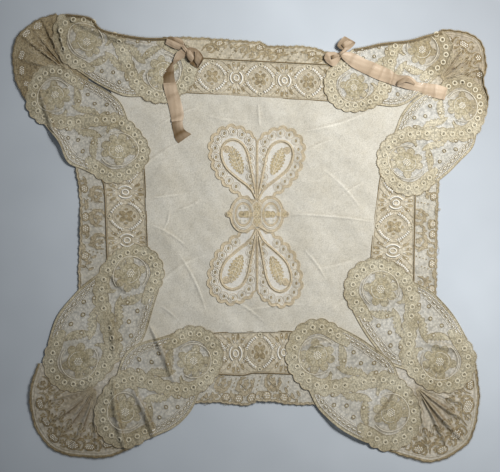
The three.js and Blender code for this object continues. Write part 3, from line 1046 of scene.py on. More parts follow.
def shaderGroup(name, inputs, outputs):
    # the group, what it is given, the node that takes its result, and the place on the object
    group = bpy.data.node_groups.new(name, "ShaderNodeTree")
    for label, value in inputs.items():
        kind = "NodeSocketFloat" if isinstance(value, float) else "NodeSocketColor"
        group.interface.new_socket(label, in_out="INPUT", socket_type=kind).default_value = value
    for label, kind in outputs.items():
        group.interface.new_socket(label, in_out="OUTPUT", socket_type=kind)
    place = nodeOf(group, "ShaderNodeTexCoord", {}).outputs["Object"]
    return group, group.nodes.new("NodeGroupInput").outputs, group.nodes.new("NodeGroupOutput"), place


def noise(tree, place, scale, detail=2):
    inputs = {"Vector": place, "Scale": scale, "Detail": detail}
    return nodeOf(tree, "ShaderNodeTexNoise", inputs).outputs["Fac"]


def mixed(tree, factor, first, second, blend="MIX"):
    return nodeOf(tree, "ShaderNodeMix", {"Factor": factor, "A": first, "B": second}, data_type="RGBA",
                  blend_type=blend).outputs["Result"]


def added(tree, first, share1, second, share2):
    return mathNode(tree, "ADD", mathNode(tree, "MULTIPLY", first, share1),
                    mathNode(tree, "MULTIPLY", second, share2))


def foldOf(tree):
    return nodeOf(tree, "ShaderNodeAttribute", {}, attribute_name="fold").outputs["Fac"]


def agedColourAndShade():
    # blotches of wear and age over a thread colour, painted shade at folds and gathers, partly doubled cloth,
    # and painted crease highlights
    group, given, target, place = shaderGroup("agedColourAndShade", {
        "Colour": (0.6, 0.55, 0.45, 1), "Aged": (0.35, 0.28, 0.18, 1), "Amount": 0.3,
        "Fold": (0.12, 0.09, 0.05, 1), "Fold Amount": 0.8, "Stitch": 500.0, "Contrast": 0.5},
        {"Colour": "NodeSocketColor"})
    blotches = added(group, noise(group, place, 22, 3), 0.62, noise(group, place, 160), 0.38)
    span = nodeOf(group, "ShaderNodeMapRange", {"Value": blotches, "From Min": 0.36, "From Max": 0.66})
    amount = mathNode(group, "MULTIPLY", span.outputs["Result"], given["Amount"])
    aged = mixed(group, amount, given["Colour"], given["Aged"])
    fold = foldOf(group)
    # painted shade towards the Fold colour at fold feet, crease sides and gathers, partly the darker doubled
    # cloth there
    dark = mixed(group, mathNode(group, "MULTIPLY", fold, given["Fold Amount"]), aged, given["Fold"])
    # stitches: a little lighter in the middle of each, darker between them
    stitch = nodeOf(group, "ShaderNodeTexVoronoi", {"Vector": place, "Scale": given["Stitch"]})
    between = mathNode(group, "SUBTRACT", stitch.outputs["Distance"], 0.42)
    depth = mathNode(group, "MULTIPLY", between, given["Contrast"])
    # painted highlight: where the fold attribute is below 0, on crease ridges, the colour is lightened
    paintedHighlight = mathNode(group, "MULTIPLY_ADD", mathNode(group, "MINIMUM", fold, 0.0), -0.2, 1.0)
    light = mathNode(group, "SUBTRACT", paintedHighlight, depth)
    shade = nodeOf(group, "ShaderNodeVectorMath", {0: dark, "Scale": light}, operation="SCALE")
    setInputs(group, target, {"Colour": shade.outputs["Vector"]})
    return group


def weaveHeight():
    # over and under of a plain weave
    group, given, target, place = shaderGroup("plainWeave", {"Threads": 2000.0, "Slub": 0.5}, {
        "Height": "NodeSocketFloat", "Shade": "NodeSocketFloat"})
    split = nodeOf(group, "ShaderNodeSeparateXYZ", {"Vector": place})
    slub = mathNode(group, "MULTIPLY", noise(group, place, 300), given["Slub"])
    waves = []
    for axis in ("X", "Y"):
        run = mathNode(group, "MULTIPLY", split.outputs[axis], given["Threads"])
        waves.append(mathNode(group, "SINE", mathNode(group, "ADD", run, slub)))
    cross = mathNode(group, "MULTIPLY", *waves)
    height = mathNode(group, "ADD", mathNode(group, "MULTIPLY", cross, 0.5), 0.5)
    # painted shade where a thread dips under its neighbour, mixed with random tone
    shade = added(group, height, 0.35, noise(group, place, 900, 1), 0.65)
    setInputs(group, target, {"Height": height, "Shade": shade})
    return group


def netMesh():
    # meshes of a fine ground: 1 on a thread, 0 in the hole between threads
    group, given, target, place = shaderGroup("fineNet", {"Meshes": 620.0, "Thread": 0.1}, {
        "Mask": "NodeSocketFloat"})
    cells = nodeOf(group, "ShaderNodeTexVoronoi",
                   {"Vector": place, "Scale": given["Meshes"], "Randomness": 0.45},
                   feature="DISTANCE_TO_EDGE", voronoi_dimensions="2D")
    near = mathNode(group, "SUBTRACT", given["Thread"], cells.outputs["Distance"])
    mask = nodeOf(group, "ShaderNodeMapRange", {"Value": near, "From Min": -0.015, "From Max": 0.015})
    setInputs(group, target, {"Mask": mask.outputs["Result"]})
    return group


aged, weave, net = agedColourAndShade(), weaveHeight(), netMesh()


def newMaterial(name, inputs):
    material = bpy.data.materials.new(name)
    material.use_nodes = True
    tree = material.node_tree
    setInputs(tree, tree.nodes["Principled BSDF"], inputs)
    return material, tree, tree.nodes["Principled BSDF"]


def clothMaterial(name, colour, old, amount=0.8, rough=0.85, netSize=None, thread=0.1, fold=0.8,
                  threadsPerMetre=9000.0, sheer=None, bump=0.25, stitch=2.2, contrast=0.9,
                  shadow=(146, 128, 94), weaveShade=0.25):
    # netSize and stitch are in millimetres
    material, tree, shader = newMaterial(name, {"Roughness": rough, "Specular IOR Level": 0.25,
                                                "Sheen Weight": 0.15, "Sheen Roughness": 0.5})
    tone = nodeOf(tree, "ShaderNodeGroup", {
        "Colour": tint(*colour), "Aged": tint(*old), "Amount": amount, "Fold": tint(*shadow),
        "Fold Amount": fold, "Stitch": 1 / (stitch * mm), "Contrast": contrast}, node_tree=aged)
    texture = nodeOf(tree, "ShaderNodeGroup", {"Threads": threadsPerMetre}, node_tree=weave).outputs
    bumped = nodeOf(tree, "ShaderNodeBump", {"Height": texture["Height"], "Strength": bump,
                                             "Distance": 0.2 * mm})
    # the weave's painted shade, with random tone, multiplied into the colour
    colour = mixed(tree, weaveShade, tone.outputs["Colour"], texture["Shade"], "MULTIPLY")
    setInputs(tree, shader, {"Base Color": colour, "Normal": bumped.outputs["Normal"]})
    if netSize:
        # the net looks denser where it is folded on itself
        thick = mathNode(tree, "MULTIPLY_ADD", foldOf(tree), 0.3, thread)
        holes = nodeOf(tree, "ShaderNodeGroup", {"Meshes": 1 / (netSize * mm), "Thread": thick},
                       node_tree=net)
        setInputs(tree, shader, {"Alpha": holes.outputs["Mask"]})
    elif sheer:
        thin = nodeOf(tree, "ShaderNodeMapRange", {"Value": texture["Shade"], "To Min": sheer[0],
                                                   "To Max": sheer[1]})
        setInputs(tree, shader, {"Alpha": thin.outputs["Result"]})
    return material


plaqueShadow, fanShadow, ribbonShadow = (122, 104, 70), (112, 91, 57), (112, 87, 52)
ground = {"netSize": 0.95, "stitch": 3.4}       # of all the lace but the motif
thin = {"amount": 0.6, "fold": 0.6, "contrast": 0.3, "weaveShade": 0.1}
finishOf = {
    "plaqueNet": clothMaterial("plaque_net", (236, 232, 221), (202, 193, 170), thread=0.26, amount=0.6,
                               contrast=0.7, shadow=plaqueShadow, **ground),
    "plaqueWork": clothMaterial("plaque_clothwork", (216, 209, 186), (173, 161, 130), amount=0.9,
                                shadow=plaqueShadow),
    "paleNet": clothMaterial("pale_plaque_net", (240, 237, 228), (211, 204, 184), thread=0.245, amount=0.6,
                             contrast=0.7, shadow=plaqueShadow, **ground),
    "paleWork": clothMaterial("pale_plaque_clothwork", (220, 212, 189), (181, 169, 139), shadow=plaqueShadow),
    "roseWork": clothMaterial("rose_clothwork", (207, 198, 171), (166, 153, 119)),
    "bandNet": clothMaterial("band_net", (232, 222, 200), (196, 182, 150), thread=0.32, amount=0.6,
                             contrast=0.6, **ground),
    "edgingNet": clothMaterial("edging_net", (240, 234, 219), (204, 195, 173), thread=0.24, amount=0.7,
                               contrast=0.6, **ground),
    "edgingWork": clothMaterial("edging_clothwork", (205, 193, 167), (168, 153, 124)),
    "bandWork": clothMaterial("band_clothwork", (196, 181, 149), (152, 133, 98)),
    "fanNet": clothMaterial("fan_net", (240, 233, 218), (196, 183, 153), thread=0.27, fold=0.9, amount=0.6,
                            contrast=0.6, shadow=fanShadow, **ground),
    "fanWork": clothMaterial("fan_clothwork", (190, 175, 143), (144, 126, 92), fold=0.9, shadow=fanShadow),
    "motifNet": clothMaterial("motif_net", (240, 237, 229), (226, 220, 206), netSize=1.5, thread=0.34,
                              amount=0.35, contrast=0.2, bump=0.1),
    "motifWork": clothMaterial("motif_clothwork", (220, 206, 179), (198, 181, 149), amount=0.6, contrast=0.5),
    "motifGold": clothMaterial("motif_spray", (214, 199, 164), (190, 171, 132), amount=0.7, contrast=0.8),
    "ribbon": clothMaterial("satin_ribbon", (214, 193, 168), (196, 170, 140), amount=0.5, rough=0.4,
                            threadsPerMetre=16000.0, fold=0.95, bump=0.06, contrast=0.0,
                            shadow=ribbonShadow),
    "cord": clothMaterial("raised_cord", (208, 196, 169), (158, 141, 108), bump=0.4, contrast=0.4),
    "motifCord": clothMaterial("motif_cord", (222, 208, 181), (202, 185, 153), amount=0.5, contrast=0.4),
    "pale": clothMaterial("pale_thread", (238, 232, 216), (216, 206, 182), **thin),
    "eyelet": clothMaterial("eyelet_ring", (226, 219, 197), (206, 195, 168), **thin),
    "white": clothMaterial("white_thread", (252, 250, 243), (236, 230, 215), amount=0.4, fold=0.5,
                           contrast=0.2, weaveShade=0.08),
    "seam": clothMaterial("seam_cord", (150, 133, 101), (118, 101, 70), amount=0.5, contrast=0.5),
    "lawn": clothMaterial("sheer_lawn", (232, 228, 216), (208, 200, 180), amount=0.5, fold=0.6,
                          threadsPerMetre=5200.0, sheer=(0.86, 1.0), bump=0.2, stitch=1.7, contrast=0.3),
}
print("materials made")


def threadPiece(name, plan, level, extra, cord):
    # every raised thread of one plan, in one mesh
    made = []
    for key, sides, finish in [("seams", 6, "seam"), ("cords", 5, cord), ("pale", 4, "pale"),
                               ("white", 4, "white")]:
        if plan[key]:
            mesh = pathMesh(plan[key], level, extra)
            made.append(throughTree(mesh, threads, {"Sides": sides, "Material": finishOf[finish]}))
    if plan["eyelets"]:
        mesh = pointMesh(plan["eyelets"], level, extra)
        made.append(throughTree(mesh, onPoints, {"Piece": eyeletRing, "Material": finishOf["eyelet"]}))
    for path, pitch, length in plan["bars"]:
        mesh = pathMesh([(path, False, 0.5)], level, extra)
        made.append(throughTree(mesh, onPaths, {"Piece": barPiece, "Pitch": pitch * mm, "Size": length,
                                                "Material": finishOf["white"]}))
    if plan["picots"]:
        mesh = pathMesh([(path, False, 0.2) for path in plan["picots"]], level, extra)
        made.append(throughTree(mesh, onPaths, {"Piece": picotPiece, "Pitch": picotPitch * mm, "Size": 1.0,
                                                "Material": finishOf[cord]}))
    return joined(name, made) if made else None


def joined(name, meshes):
    # one piece of several meshes
    objects = [newObject(name, mesh) for mesh in meshes]
    with bpy.context.temp_override(active_object=objects[0], selected_editable_objects=objects):
        bpy.ops.object.join()
    return objects[0]


def laceSheet(node, plan, level, materials, cord="cord", extra=None,
              step=clothSteps["mesh"]):
    # the cloth of one solid and its threads, hung on the root in place of the solid, which is hidden
    plan["holes"] += [oval(x, y, size * 0.3, steps=6) for x, y, size in plan["eyelets"]]
    cloth = clothMesh(node + "_cloth", plan, level, [finishOf[name] for name in materials], extra, step)
    raised = threadPiece(node + "_threads", plan, level, extra, cord)
    for piece in (cloth, raised):
        if piece:
            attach(piece, "root")
    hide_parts(node)


# How high each layer lies above the relief
levels = {"lawn": 0.7, "band": 0.9, "fan": 1.0, "plaque": 1.4, "plaqueAbove": 2.0, "motif": 1.35,
          "knot": 1.85, "ribbon": 3.0}

# Where the top plaques turn over at the top edge of the cover
turnedEdges = [
    [(-320, 340), (-262, 305), (-217, 300), (-198, 283), (-148, 273), (-114, 272), (-60, 272), (-60, 340)],
    [(80, 340), (90, 254), (105, 253), (151, 259), (178, 265), (215, 269), (240, 276), (280, 284),
     (280, 340)],
]
base = plaquePlan()
plaquePlans = {row[0]: moved(base, plaquePlace(row)) for row in plaqueRows}
plaqueOutlines = {name: plan["outline"].copy() for name, plan in plaquePlans.items()}
turned = [np.vstack([points[:1], smoothPath(points[1:-1]), points[-1:]]) for points in turnedEdges]
for name, plan in plaquePlans.items():
    above = name.replace("_down", "_across")
    if name != above:
        tuckedUnder(plan, [plaqueOutlines[above]], 5)
    if "_top_" in name:
        before = plan["outline"]
        trimmed(plan, turned)
        for path in turned:
            edge = path[inside(path, before)]
            if len(edge) > 8:
                plan["seams"] += [(sideways(edge, -1.4), False, 1.3), (sideways(edge, -3.6), False, 0.7)]
                plan["picots"].append(edge)
    level = levels["plaqueAbove" if name == above else "plaque"]
    # the top right pair has kept its pale colour
    finishes = ["paleNet", "paleWork"] if "top_right" in name else ["plaqueNet", "plaqueWork"]
    laceSheet(name, plan, level, finishes + ["roseWork"])
covers = list(plaqueOutlines.values())
print("plaques made")


# Insertions and edgings: charted along a straight band, then laid between its two seams

bandDesign = {"repeat": 65, "half": 22, "edging": 30, "medallion": 20.5, "strip": 4.8}

# inner seam, outer seam and outer edge of each side of the cover; the place of one medallion along it
sides = {
    "top": [[(-128, 200.5), (-85, 198), (101, 187), (130, 185.5)],
            [(-128, 251), (-53, 244), (100, 236), (130, 234.5)],
            [(-118, 273), (-69, 272), (0, 267), (14, 266), (27, 261), (76, 260), (105, 253), (142, 249)], 13],
    "right": [[(180, 98), (174, 74), (163, -28), (171, -88)],
              [(226, 98), (223, 60), (221, -55), (221, -92)],
              [(259, 101), (258, 87), (254, 65), (251, -61), (252, -94)], -13],
    "bottom": [[(90, -134), (55, -124), (-47, -126), (-76, -134)],
               [(90, -184), (61, -182), (8, -180), (-9, -183), (-39, -182), (-76, -180)],
               [(100, -222), (54, -222), (39, -219), (11, -217), (6, -220), (-11, -223), (-47, -219),
                (-92, -222)], -6],
    "left": [[(-140, -66), (-138, -30), (-142, 87), (-147, 113)],
             [(-191, -68), (-193, -18), (-196, 64), (-200, 82), (-206, 113)],
             [(-230, -72), (-231, -41), (-229, 2), (-229, 53), (-235, 98), (-242, 115)], 8],
}

# Edging: kind, place along the side, place out from the seam, size
edgingRows = {
    "top": [("vine", -18, 17, 60), ("vine", 74, 16, 44), ("vine", -66, 21, 44), ("scroll", -2, 8, 6),
            ("scroll", 25, 8, 6), ("scroll", 12, 15, 5), ("scroll", -18, 17, 4.5), ("scroll", 84, 9, 5.5),
            ("scroll", 100, 15, 5), ("scroll", -62, 14, 5), ("leaf", 39, 12, 5), ("leaf", -30, 19, 4),
            ("leaf", 66, 18, 4.5), ("leaf", -46, 19, 4), ("dots", -44, 7, 3), ("dots", -29, 7, 3),
            ("dots", 49, 6, 3), ("dots", 61, 6, 3), ("ring", 31, 21, 3.2), ("ring", -52, 24, 3.2),
            ("ring", 3, 22, 3.2), ("leaf", 52, 17, 3.5), ("ring", 76, 19, 3)],
    "right": [("vine", -34, 10, 26), ("vine", 2, 13, 22), ("leaf", 60, 16, 5), ("leaf", -58, 14, 5),
              ("ring", -54, 26, 3.3), ("ring", -17, 26, 3.3), ("ring", -3, 26, 3.3), ("ring", 36, 26, 3.3),
              ("ring", 70, 26, 3.3), ("scroll", -28, 4, 6), ("scroll", 5, 6, 6.5), ("scroll", 17, 23, 5.5),
              ("leaf", -17, 18, 5), ("leaf", -36, 27, 4.5), ("dots", 28, 7, 4), ("dots", 42, 14, 4),
              ("dots", -46, 8, 3), ("leaf", 50, 25, 4.5), ("scroll", 62, 8, 5), ("leaf", -8, 11, 4)],
    "bottom": [("vine", -36, 11, 22), ("vine", 4, 12, 24), ("vine", 36, 12, 22), ("vine", -60, 22, 30),
               ("vine", 30, 24, 40), ("scroll", -26, 8, 6), ("scroll", 12, 9, 6.5), ("scroll", 44, 8, 6),
               ("leaf", -10, 20, 5), ("leaf", 27, 20, 5), ("ring", -40, 29, 3.3), ("ring", -18, 30, 3.3),
               ("ring", 3, 30, 3.3), ("ring", 20, 29, 3.3), ("ring", 36, 30, 3.3), ("dots", -6, 8, 4),
               ("dots", 29, 8, 4), ("dots", -46, 12, 4), ("leaf", 52, 22, 4.5), ("leaf", -32, 22, 4.5)],
    "left": [("vine", -34, 12, 22), ("vine", 0, 12, 22), ("vine", 32, 12, 22), ("vine", -62, 20, 26),
             ("ring", -44, 28, 3.3), ("ring", -8, 30, 3.3), ("ring", 8, 30, 3.3), ("ring", 46, 30, 3.3),
             ("scroll", -26, 7, 6), ("scroll", 6, 8, 6.5), ("scroll", 38, 7, 6), ("leaf", -14, 20, 5),
             ("leaf", 24, 21, 5), ("leaf", -34, 24, 4.5), ("dots", 16, 8, 4), ("dots", -40, 10, 4),
             ("dots", 30, 16, 4), ("leaf", 56, 20, 4.5)],
}


def bandPlace(near, far, width, middle):
    # lays a chart between two lines; across is counted from the near line, or from the middle
    near, far = (smoothPath(path, step=1.5) for path in (near, far))
    share1, share2 = (lengths(path) / lengths(path)[-1] for path in (near, far))
    run = (lengths(near)[-1] + lengths(far)[-1]) / 2

    def place(points):
        along, out = np.asarray(points, float).reshape(-1, 2).T
        at = np.clip(along / run + 0.5, 0, 1)
        beyond = np.outer(along / run + 0.5 - at, near[-1] - near[0])
        inner, outer = (beyond + np.stack([np.interp(at, share, path[:, k]) for k in (0, 1)], axis=1)
                        for share, path in ((share1, near), (share2, far)))
        across = (out / width + (0.5 if middle else 0))[:, None]
        return inner + (outer - inner) * across

    return place, near, far, run


def roundedDiamond(x, y, radius, power=1.62):
    angle = np.linspace(0, 2 * math.pi, 56, endpoint=False)
    reach = radius / (np.abs(np.cos(angle)) ** power + np.abs(np.sin(angle)) ** power) ** (1 / power)
    return np.stack([x + 1.04 * reach * np.cos(angle), y + 0.95 * reach * np.sin(angle)], axis=1)


def medallion(plan, x):
    # a rounded diamond with bars between its two lines and a flower inside
    d = bandDesign
    outer, inner = d["medallion"], d["medallion"] - d["strip"]
    plan["cords"] += [(roundedDiamond(x, 0, outer), True, 0.34), (roundedDiamond(x, 0, inner), True, 0.26),
                      (roundedDiamond(x, 0, inner - 2), True, 0.16)]
    middle = roundedDiamond(x, 0, (outer + inner) / 2)
    for quarter in range(4):
        plan["bars"].append((middle[quarter * 14 + 3 : quarter * 14 + 12], 2.8, 3.6))
        plan["white"].append((middle[quarter * 14 + 3 : quarter * 14 + 12], False, 0.5))
    for turn in (-1, 1):
        plan["eyelets"].append((x, turn * (0.95 * outer - 1.2), 2.2))
    for angle in (45, 135, 225, 315):
        a = math.radians(angle)
        worked(plan, oval(*spoke(x, 0, 4.8, angle), 4.6, 3.1, angle), 0.2)
        worked(plan, oval(x + 9.4 * math.cos(a + 0.75), 9 * math.sin(a + 0.75), 2.1, 1.5, angle - 45), 0.16)
        plan["cords"].append((oval(*spoke(x, 0, 4.8, angle), 2.2, 1.3, angle), True, 0.14))
        stamen = [spoke(x, 0, 9.8, angle), spoke(x, 0, 12.4, angle)]
        plan["pale"].append((smoothPath(stamen, step=1), False, 0.3))
    plan["pale"].append((oval(x, 0, 1.4, steps=7), True, 0.36))


def crossing(plan, x):
    # the figure between two medallions: a ring, four arms and a leaf fan on each side
    wide = np.roll(oval(x, 0, 8.2, steps=24), 4, axis=0)
    plan["white"] += [(oval(x, 0, 3.5), True, 0.8), (wide[:9], False, 1.0), (wide[12:21], False, 1.0)]
    plan["seams"].append((oval(x, 0, 5.7), True, 0.24))
    for turn in (-1, 1):
        for lean in (-1, 1):
            arm = [(3, 6), (6, 11), (13.5, 15.5), (20, 20.5)]
            bars, dots = [(9.5, 9), (15.5, 3.5)], [(1.6, 10.5), (3.2, 14)]
            arm, bars, dots = ([(x + lean * u, turn * v) for u, v in path] for path in (arm, bars, dots))
            plan["cords"].append((smoothPath(arm), False, 0.3))
            plan["bars"].append((smoothPath(bars), 2.3, 2.4))
            plan["white"].append((smoothPath(dots, step=1.5), False, 0.4))
        for k, angle in enumerate((-62, -34, -11, 11, 34, 62)):
            reach = 14.5 + 2.2 * cosSin(angle)[0]
            facing = 90 * turn + angle
            worked(plan, oval(*spoke(x, 0, reach, facing), 3.8, 1.9, facing), 0.18)
            if k % 2:
                plan["white"].append((oval(*spoke(x, 0, reach + 1, facing), 0.55, steps=5), True, 0.34))


def scrollFlower(plan, x, y, size):
    # a curled leaf round a small flower
    curl = [(-1.7, -0.7), (-1.1, 0.8), (0.4, 1.3), (1.4, 0.5), (1.1, -0.7), (0.1, -0.9)]
    curl = [(x + size * u, y + size * v) for u, v in curl]
    scrollLeaf(plan, curl, 0.72 * size, 0.8 * size, thread=0.2)
    for angle in range(20, 380, 72):
        worked(plan, oval(*spoke(x, y, 0.42 * size, angle), size * 0.32, size * 0.25, angle), 0.16)


def leafSpray(plan, x, y, size):
    # three leaves from one foot
    for angle in (25, 90, 155):
        worked(plan, oval(*spoke(x, y, size * 0.8, angle), size * 0.75, size * 0.36, angle), 0.3)


def dotColumn(plan, x, y, size):
    for k in range(4):
        worked(plan, oval(x + size * (0.35 * k - 0.5), y - 4 + 4.4 * k, 0.85, steps=6), 0.26)


def vine(plan, x, y, size):
    # a winding stem with leaves on both sides
    stem = [(x + 4 * k, y + 3 * math.sin(1.1 * k)) for k in range(int(size / 4))]
    plan["cords"].append((smoothPath(stem), False, 0.42))
    for k, (u, v) in enumerate(stem):
        turn = 1 if k % 2 else -1
        worked(plan, oval(u, v + 3 * turn, 3.1, 1.6, 60 * turn), 0.28)


edgingMotifs = {"vine": vine, "scroll": scrollFlower, "leaf": leafSpray, "dots": dotColumn}


def insertionPlan(near, far, start):
    # medallions and crossings in turn, between two seams
    d = bandDesign
    place, near, far, run = bandPlace(near, far, 2 * d["half"], True)
    plan = newPlan([(-run / 2, 0)])
    for k in range(-3, 4):
        for offset, motif in ((0, medallion), (0.5, crossing)):
            x = start + (k + offset) * d["repeat"]
            if abs(x) < run / 2 + 10:
                motif(plan, x)
    plan = moved(plan, place)
    plan["outline"] = np.vstack([near, far[::-1]])
    plan["seams"] += [(near, False, 0.7), (far, False, 0.85)]
    plan["cords"] += [(sideways(near, 2.2), False, 0.24), (sideways(far, -2.2), False, 0.24)]
    return plan


def edgingPlan(side, near, far):
    # sprigs from the table, and a ragged outer edge
    place, near, far, run = bandPlace(near, far, bandDesign["edging"], False)
    plan = newPlan([(-run / 2, 0)])
    for kind, x, y, size in edgingRows[side]:
        if kind == "ring":
            speckle(plan, x, min(y, 24), 4.6, 3.2)
        else:
            edgingMotifs[kind](plan, x, y, size)
    plan = moved(plan, place)
    k = np.arange(len(far))
    ragged = sideways(far, 0.5 * np.sin(k * 1.1) + 0.4 * np.sin(k * 0.37))
    plan["outline"] = np.vstack([near, ragged[::-1]])
    inward = 1 if area(plan["outline"]) > 0 else -1
    plan["cords"] += [(ragged, False, 0.55), (sideways(ragged, -inward * 2.4), False, 0.32)]
    plan["areas"].append((stripOf(ragged, 0, -inward * 2.4), 1))
    plan["picots"].append(ragged)
    return plan


# the edging is paler where it lies single
singles = ["edging_left", "edging_right", "edging_bottom"]
for side, (inner, outer, edge, start) in sides.items():
    for node, plan in (("insertion_" + side, insertionPlan(inner, outer, start)),
                       ("edging_" + side, edgingPlan(side, outer, edge))):
        tuckedUnder(plan, covers)
        finishes = ["edgingNet", "edgingWork"] if node in singles else ["bandNet", "bandWork"]
        laceSheet(node, plan, levels["band"], finishes)
print("bands made")


# Corner fans, gathered between two plaques

fanDesign = {
    "gusset": 38,            # how far the cloth runs in past the gather
    "bottomLeftGusset": 66,
    "repeat": 26,            # from scroll to scroll along the rim
    "drawn": (20, 34),       # shortest thread at the gather, and how much longer they get
}

# rim from one plaque round to the other, then back by the roses; rings as (angle, distance, radius)
fanRows = {
    "bottomRight": [
        [(183, -284), (215, -294), (246, -300), (275, -289), (299, -267), (309, -221), (308, -190),
         (301, -151)],
        [(256, -165), (192, -241)],
        [(-21, 76, 8.5), (-87, 85, 6.5), (-67, 93, 6), (-50, 85, 7), (2, 74, 5.5), (-104, 80, 5)]],
    "bottomLeft": [
        [(-286, -167), (-297, -210), (-288, -257), (-256, -288), (-198, -294), (-172, -286), (-159, -281)],
        [(-172, -235), (-232, -165), (-176, -204), (-166, -180)],
        [(-113, 83, 8), (-96, 80, 6), (-146, 81, 5.5), (-130, 88, 6), (-164, 78, 6), (-78, 78, 5)]],
    "topLeft": [
        [(-262, 305), (-291, 294), (-314, 272), (-320, 245), (-316, 215), (-304, 190)],
        [(-262, 196), (-219, 265)],
        [(123, 74, 6.5), (137, 76, 5), (160, 66, 5.5), (196, 58, 4.5), (178, 62, 5)]],
    "topRight": [
        [(319, 172), (321, 190), (315, 215), (319, 237), (308, 271), (269, 283), (240, 276), (215, 269)],
        [(232, 257), (286, 182)],
        [(8, 54, 4.5), (30, 60, 4.5), (56, 58, 5), (80, 56, 5), (102, 54, 4.5)]],
}


def fanPlan(corner):
    # sprigs that follow the rim and shrink towards the gather
    rim, back, rings = fanRows[corner]
    x, y = gatherPoints[corner]
    gusset = fanDesign["bottomLeftGusset" if corner == "bottomLeft" else "gusset"]
    inward = np.array([x, y]) * (1 - gusset / math.hypot(x, y))
    rim = smoothPath(rim, step=1.6)
    k = np.arange(len(rim))
    ragged = sideways(rim, 0.4 * np.sin(k * 0.9) + 0.35 * np.sin(k * 0.31))
    run = lengths(rim)[-1]

    def place(points):
        # along the rim, and in from it towards the gather
        along, deep = np.asarray(points, float).reshape(-1, 2).T
        at = np.clip(along, 0, run)
        edge = np.stack([np.interp(at, lengths(rim), rim[:, k]) for k in (0, 1)], axis=1)
        reach = np.hypot(*(edge - [x, y]).T)[:, None]
        return edge + (np.array([x, y]) - edge) * deep[:, None] / reach

    band = newPlan([(0, 0)])
    count = round(run / fanDesign["repeat"])
    for k in range(count):
        at = (k + 0.5) * run / count
        scrollFlower(band, at + 13, 15, 6)
        leafSpray(band, at, 25, 6.2)
        leafSpray(band, at + 12, 34, 5.4)
        scrollFlower(band, at + 2, 41, 3.6)
        dotColumn(band, at + 6, 27, 2.4)
        for stem, thread in (([(-11, 8), (-7, 21), (2, 18), (9, 27), (4, 37)], 0.4),
                             ([(-4, 50), (-8, 40), (-2, 32), (8, 36)], 0.36)):
            band["cords"].append((smoothPath([(at + u, v) for u, v in stem]), False, thread))
    plan = moved(band, place)
    plan["outline"] = np.vstack([ragged, [back[0], *back[2:], inward, back[1]]])
    plan["areas"].append((stripOf(ragged, 0, 2.6), 1))
    plan["seams"].append((sideways(ragged, 0.4), False, 0.8 if corner == "topRight" else 0.5))
    plan["cords"] += [(sideways(rim, 2.8), False, 0.36), (sideways(rim, 6), False, 0.26)]
    plan["picots"].append(ragged[::-1])
    for angle, away, size in rings:
        speckle(plan, *spoke(x, y, away, angle), 1.15 * size, size * 0.72, angle + 90)
    # the threads drawn together at the gather
    start, end = (math.radians(angle) for angle in wedges[corner][:2])
    shortest, longer = fanDesign["drawn"]
    for angle in np.arange(start - 0.2, end + 0.2, 0.05):
        reach = shortest + longer * random.random()
        c, s = math.cos(angle), math.sin(angle)
        sway = 1.6 * (random.random() - 0.5)
        half = (x + reach / 2 * c - sway * s, y + reach / 2 * s + sway * c)
        drawn = [(x + 4 * c, y + 4 * s), half, (x + reach * c, y + reach * s)]
        plan["cords"].append((smoothPath(drawn), False, 0.3))
    return plan


for corner in fanRows:
    plan = fanPlan(corner)
    tuckedUnder(plan, covers)
    name = "corner_fan_" + corner.replace("Left", "_left").replace("Right", "_right")
    laceSheet(name, plan, levels["fan"], ["fanNet", "fanWork"])
print("fans made")


# Lawn

panelOutline = [(-188, 200), (-85, 198), (101, 187), (216, 186), (174, 74), (163, -28), (180, -149),
                (55, -124), (-47, -126), (-157, -151), (-138, -30), (-142, 87)]


# slight unevenness of thin cloth lying on a table: wave length, angle, height
lawnWaves = [(61, 12, 0.32), (43, 75, 0.3), (29, 130, 0.22), (21, 40, 0.16), (15, 100, 0.1), (11, 160, 0.07)]


def lawnLift(points):
    # how far the waves and creases lift the lawn
    x, y = np.asarray(points, float).reshape(-1, 2).T
    uneven = 0.0
    for k, (length, angle, height) in enumerate(lawnWaves):
        c, s = cosSin(angle)
        bend = 9 * np.sin((x * s - y * c) / 37 + k)
        uneven = uneven + height * (1 + np.sin(2 * math.pi * (x * c + y * s + bend) / length))
    # it lies flat where the plaques hold it down
    clear = np.full(len(x), 1.0)
    for _, x1, y1, x2, y2, *_ in plaqueRows:
        run = np.array([x2 - x1, y2 - y1])
        at = np.clip(((x - x1) * run[0] + (y - y1) * run[1]) / (run @ run), 0, 1)
        away = np.hypot(x - x1 - at * run[0], y - y1 - at * run[1]) - 50
        clear *= np.clip(away / 16, 0, 1) ** 1.5
    return (creaseLift(points) + uneven) * clear


lawn = newPlan(evenly(panelOutline, True, 2.5))
lawn["areas"].append((lawn["outline"], 1))
tuckedUnder(lawn, covers)
laceSheet("centre_panel", lawn, levels["lawn"], ["lawn", "lawn"], extra=lawnLift, step=2.6)
print("lawn made")


# Applied motif: a knot and four lobes

motifMiddle = (9.5, 34)
lobeOutline = [(0.4, 20), (14, 21), (28, 28.4), (41.5, 38.5), (53.3, 52), (60.9, 68.9), (64.3, 87.4),
               (61.8, 102.6), (50, 116), (34.8, 121), (23, 118.5), (13, 114), (4, 106), (0.4, 99), (0.4, 72),
               (0.4, 46)]
dropLine = [(1.6, 21), (9.5, 35.1), (26.3, 48.6), (41, 62), (47.6, 75.6), (48.4, 87.4), (43, 97.6),
            (32.2, 101.6), (20.4, 96), (13, 82.4), (9.6, 67.2), (6, 48.6), (2.2, 28)]
sprayStem = [(20, 55), (25, 66), (30, 78), (35, 92)]
# twigs on both sides of the stem: x, y, length
twigs = [(22.5, 60, 5), (24.8, 65.5, 8), (27, 71, 10), (29.2, 76.5, 9.5), (31.6, 82.5, 7.5),
         (33.4, 87.5, 4.5)]
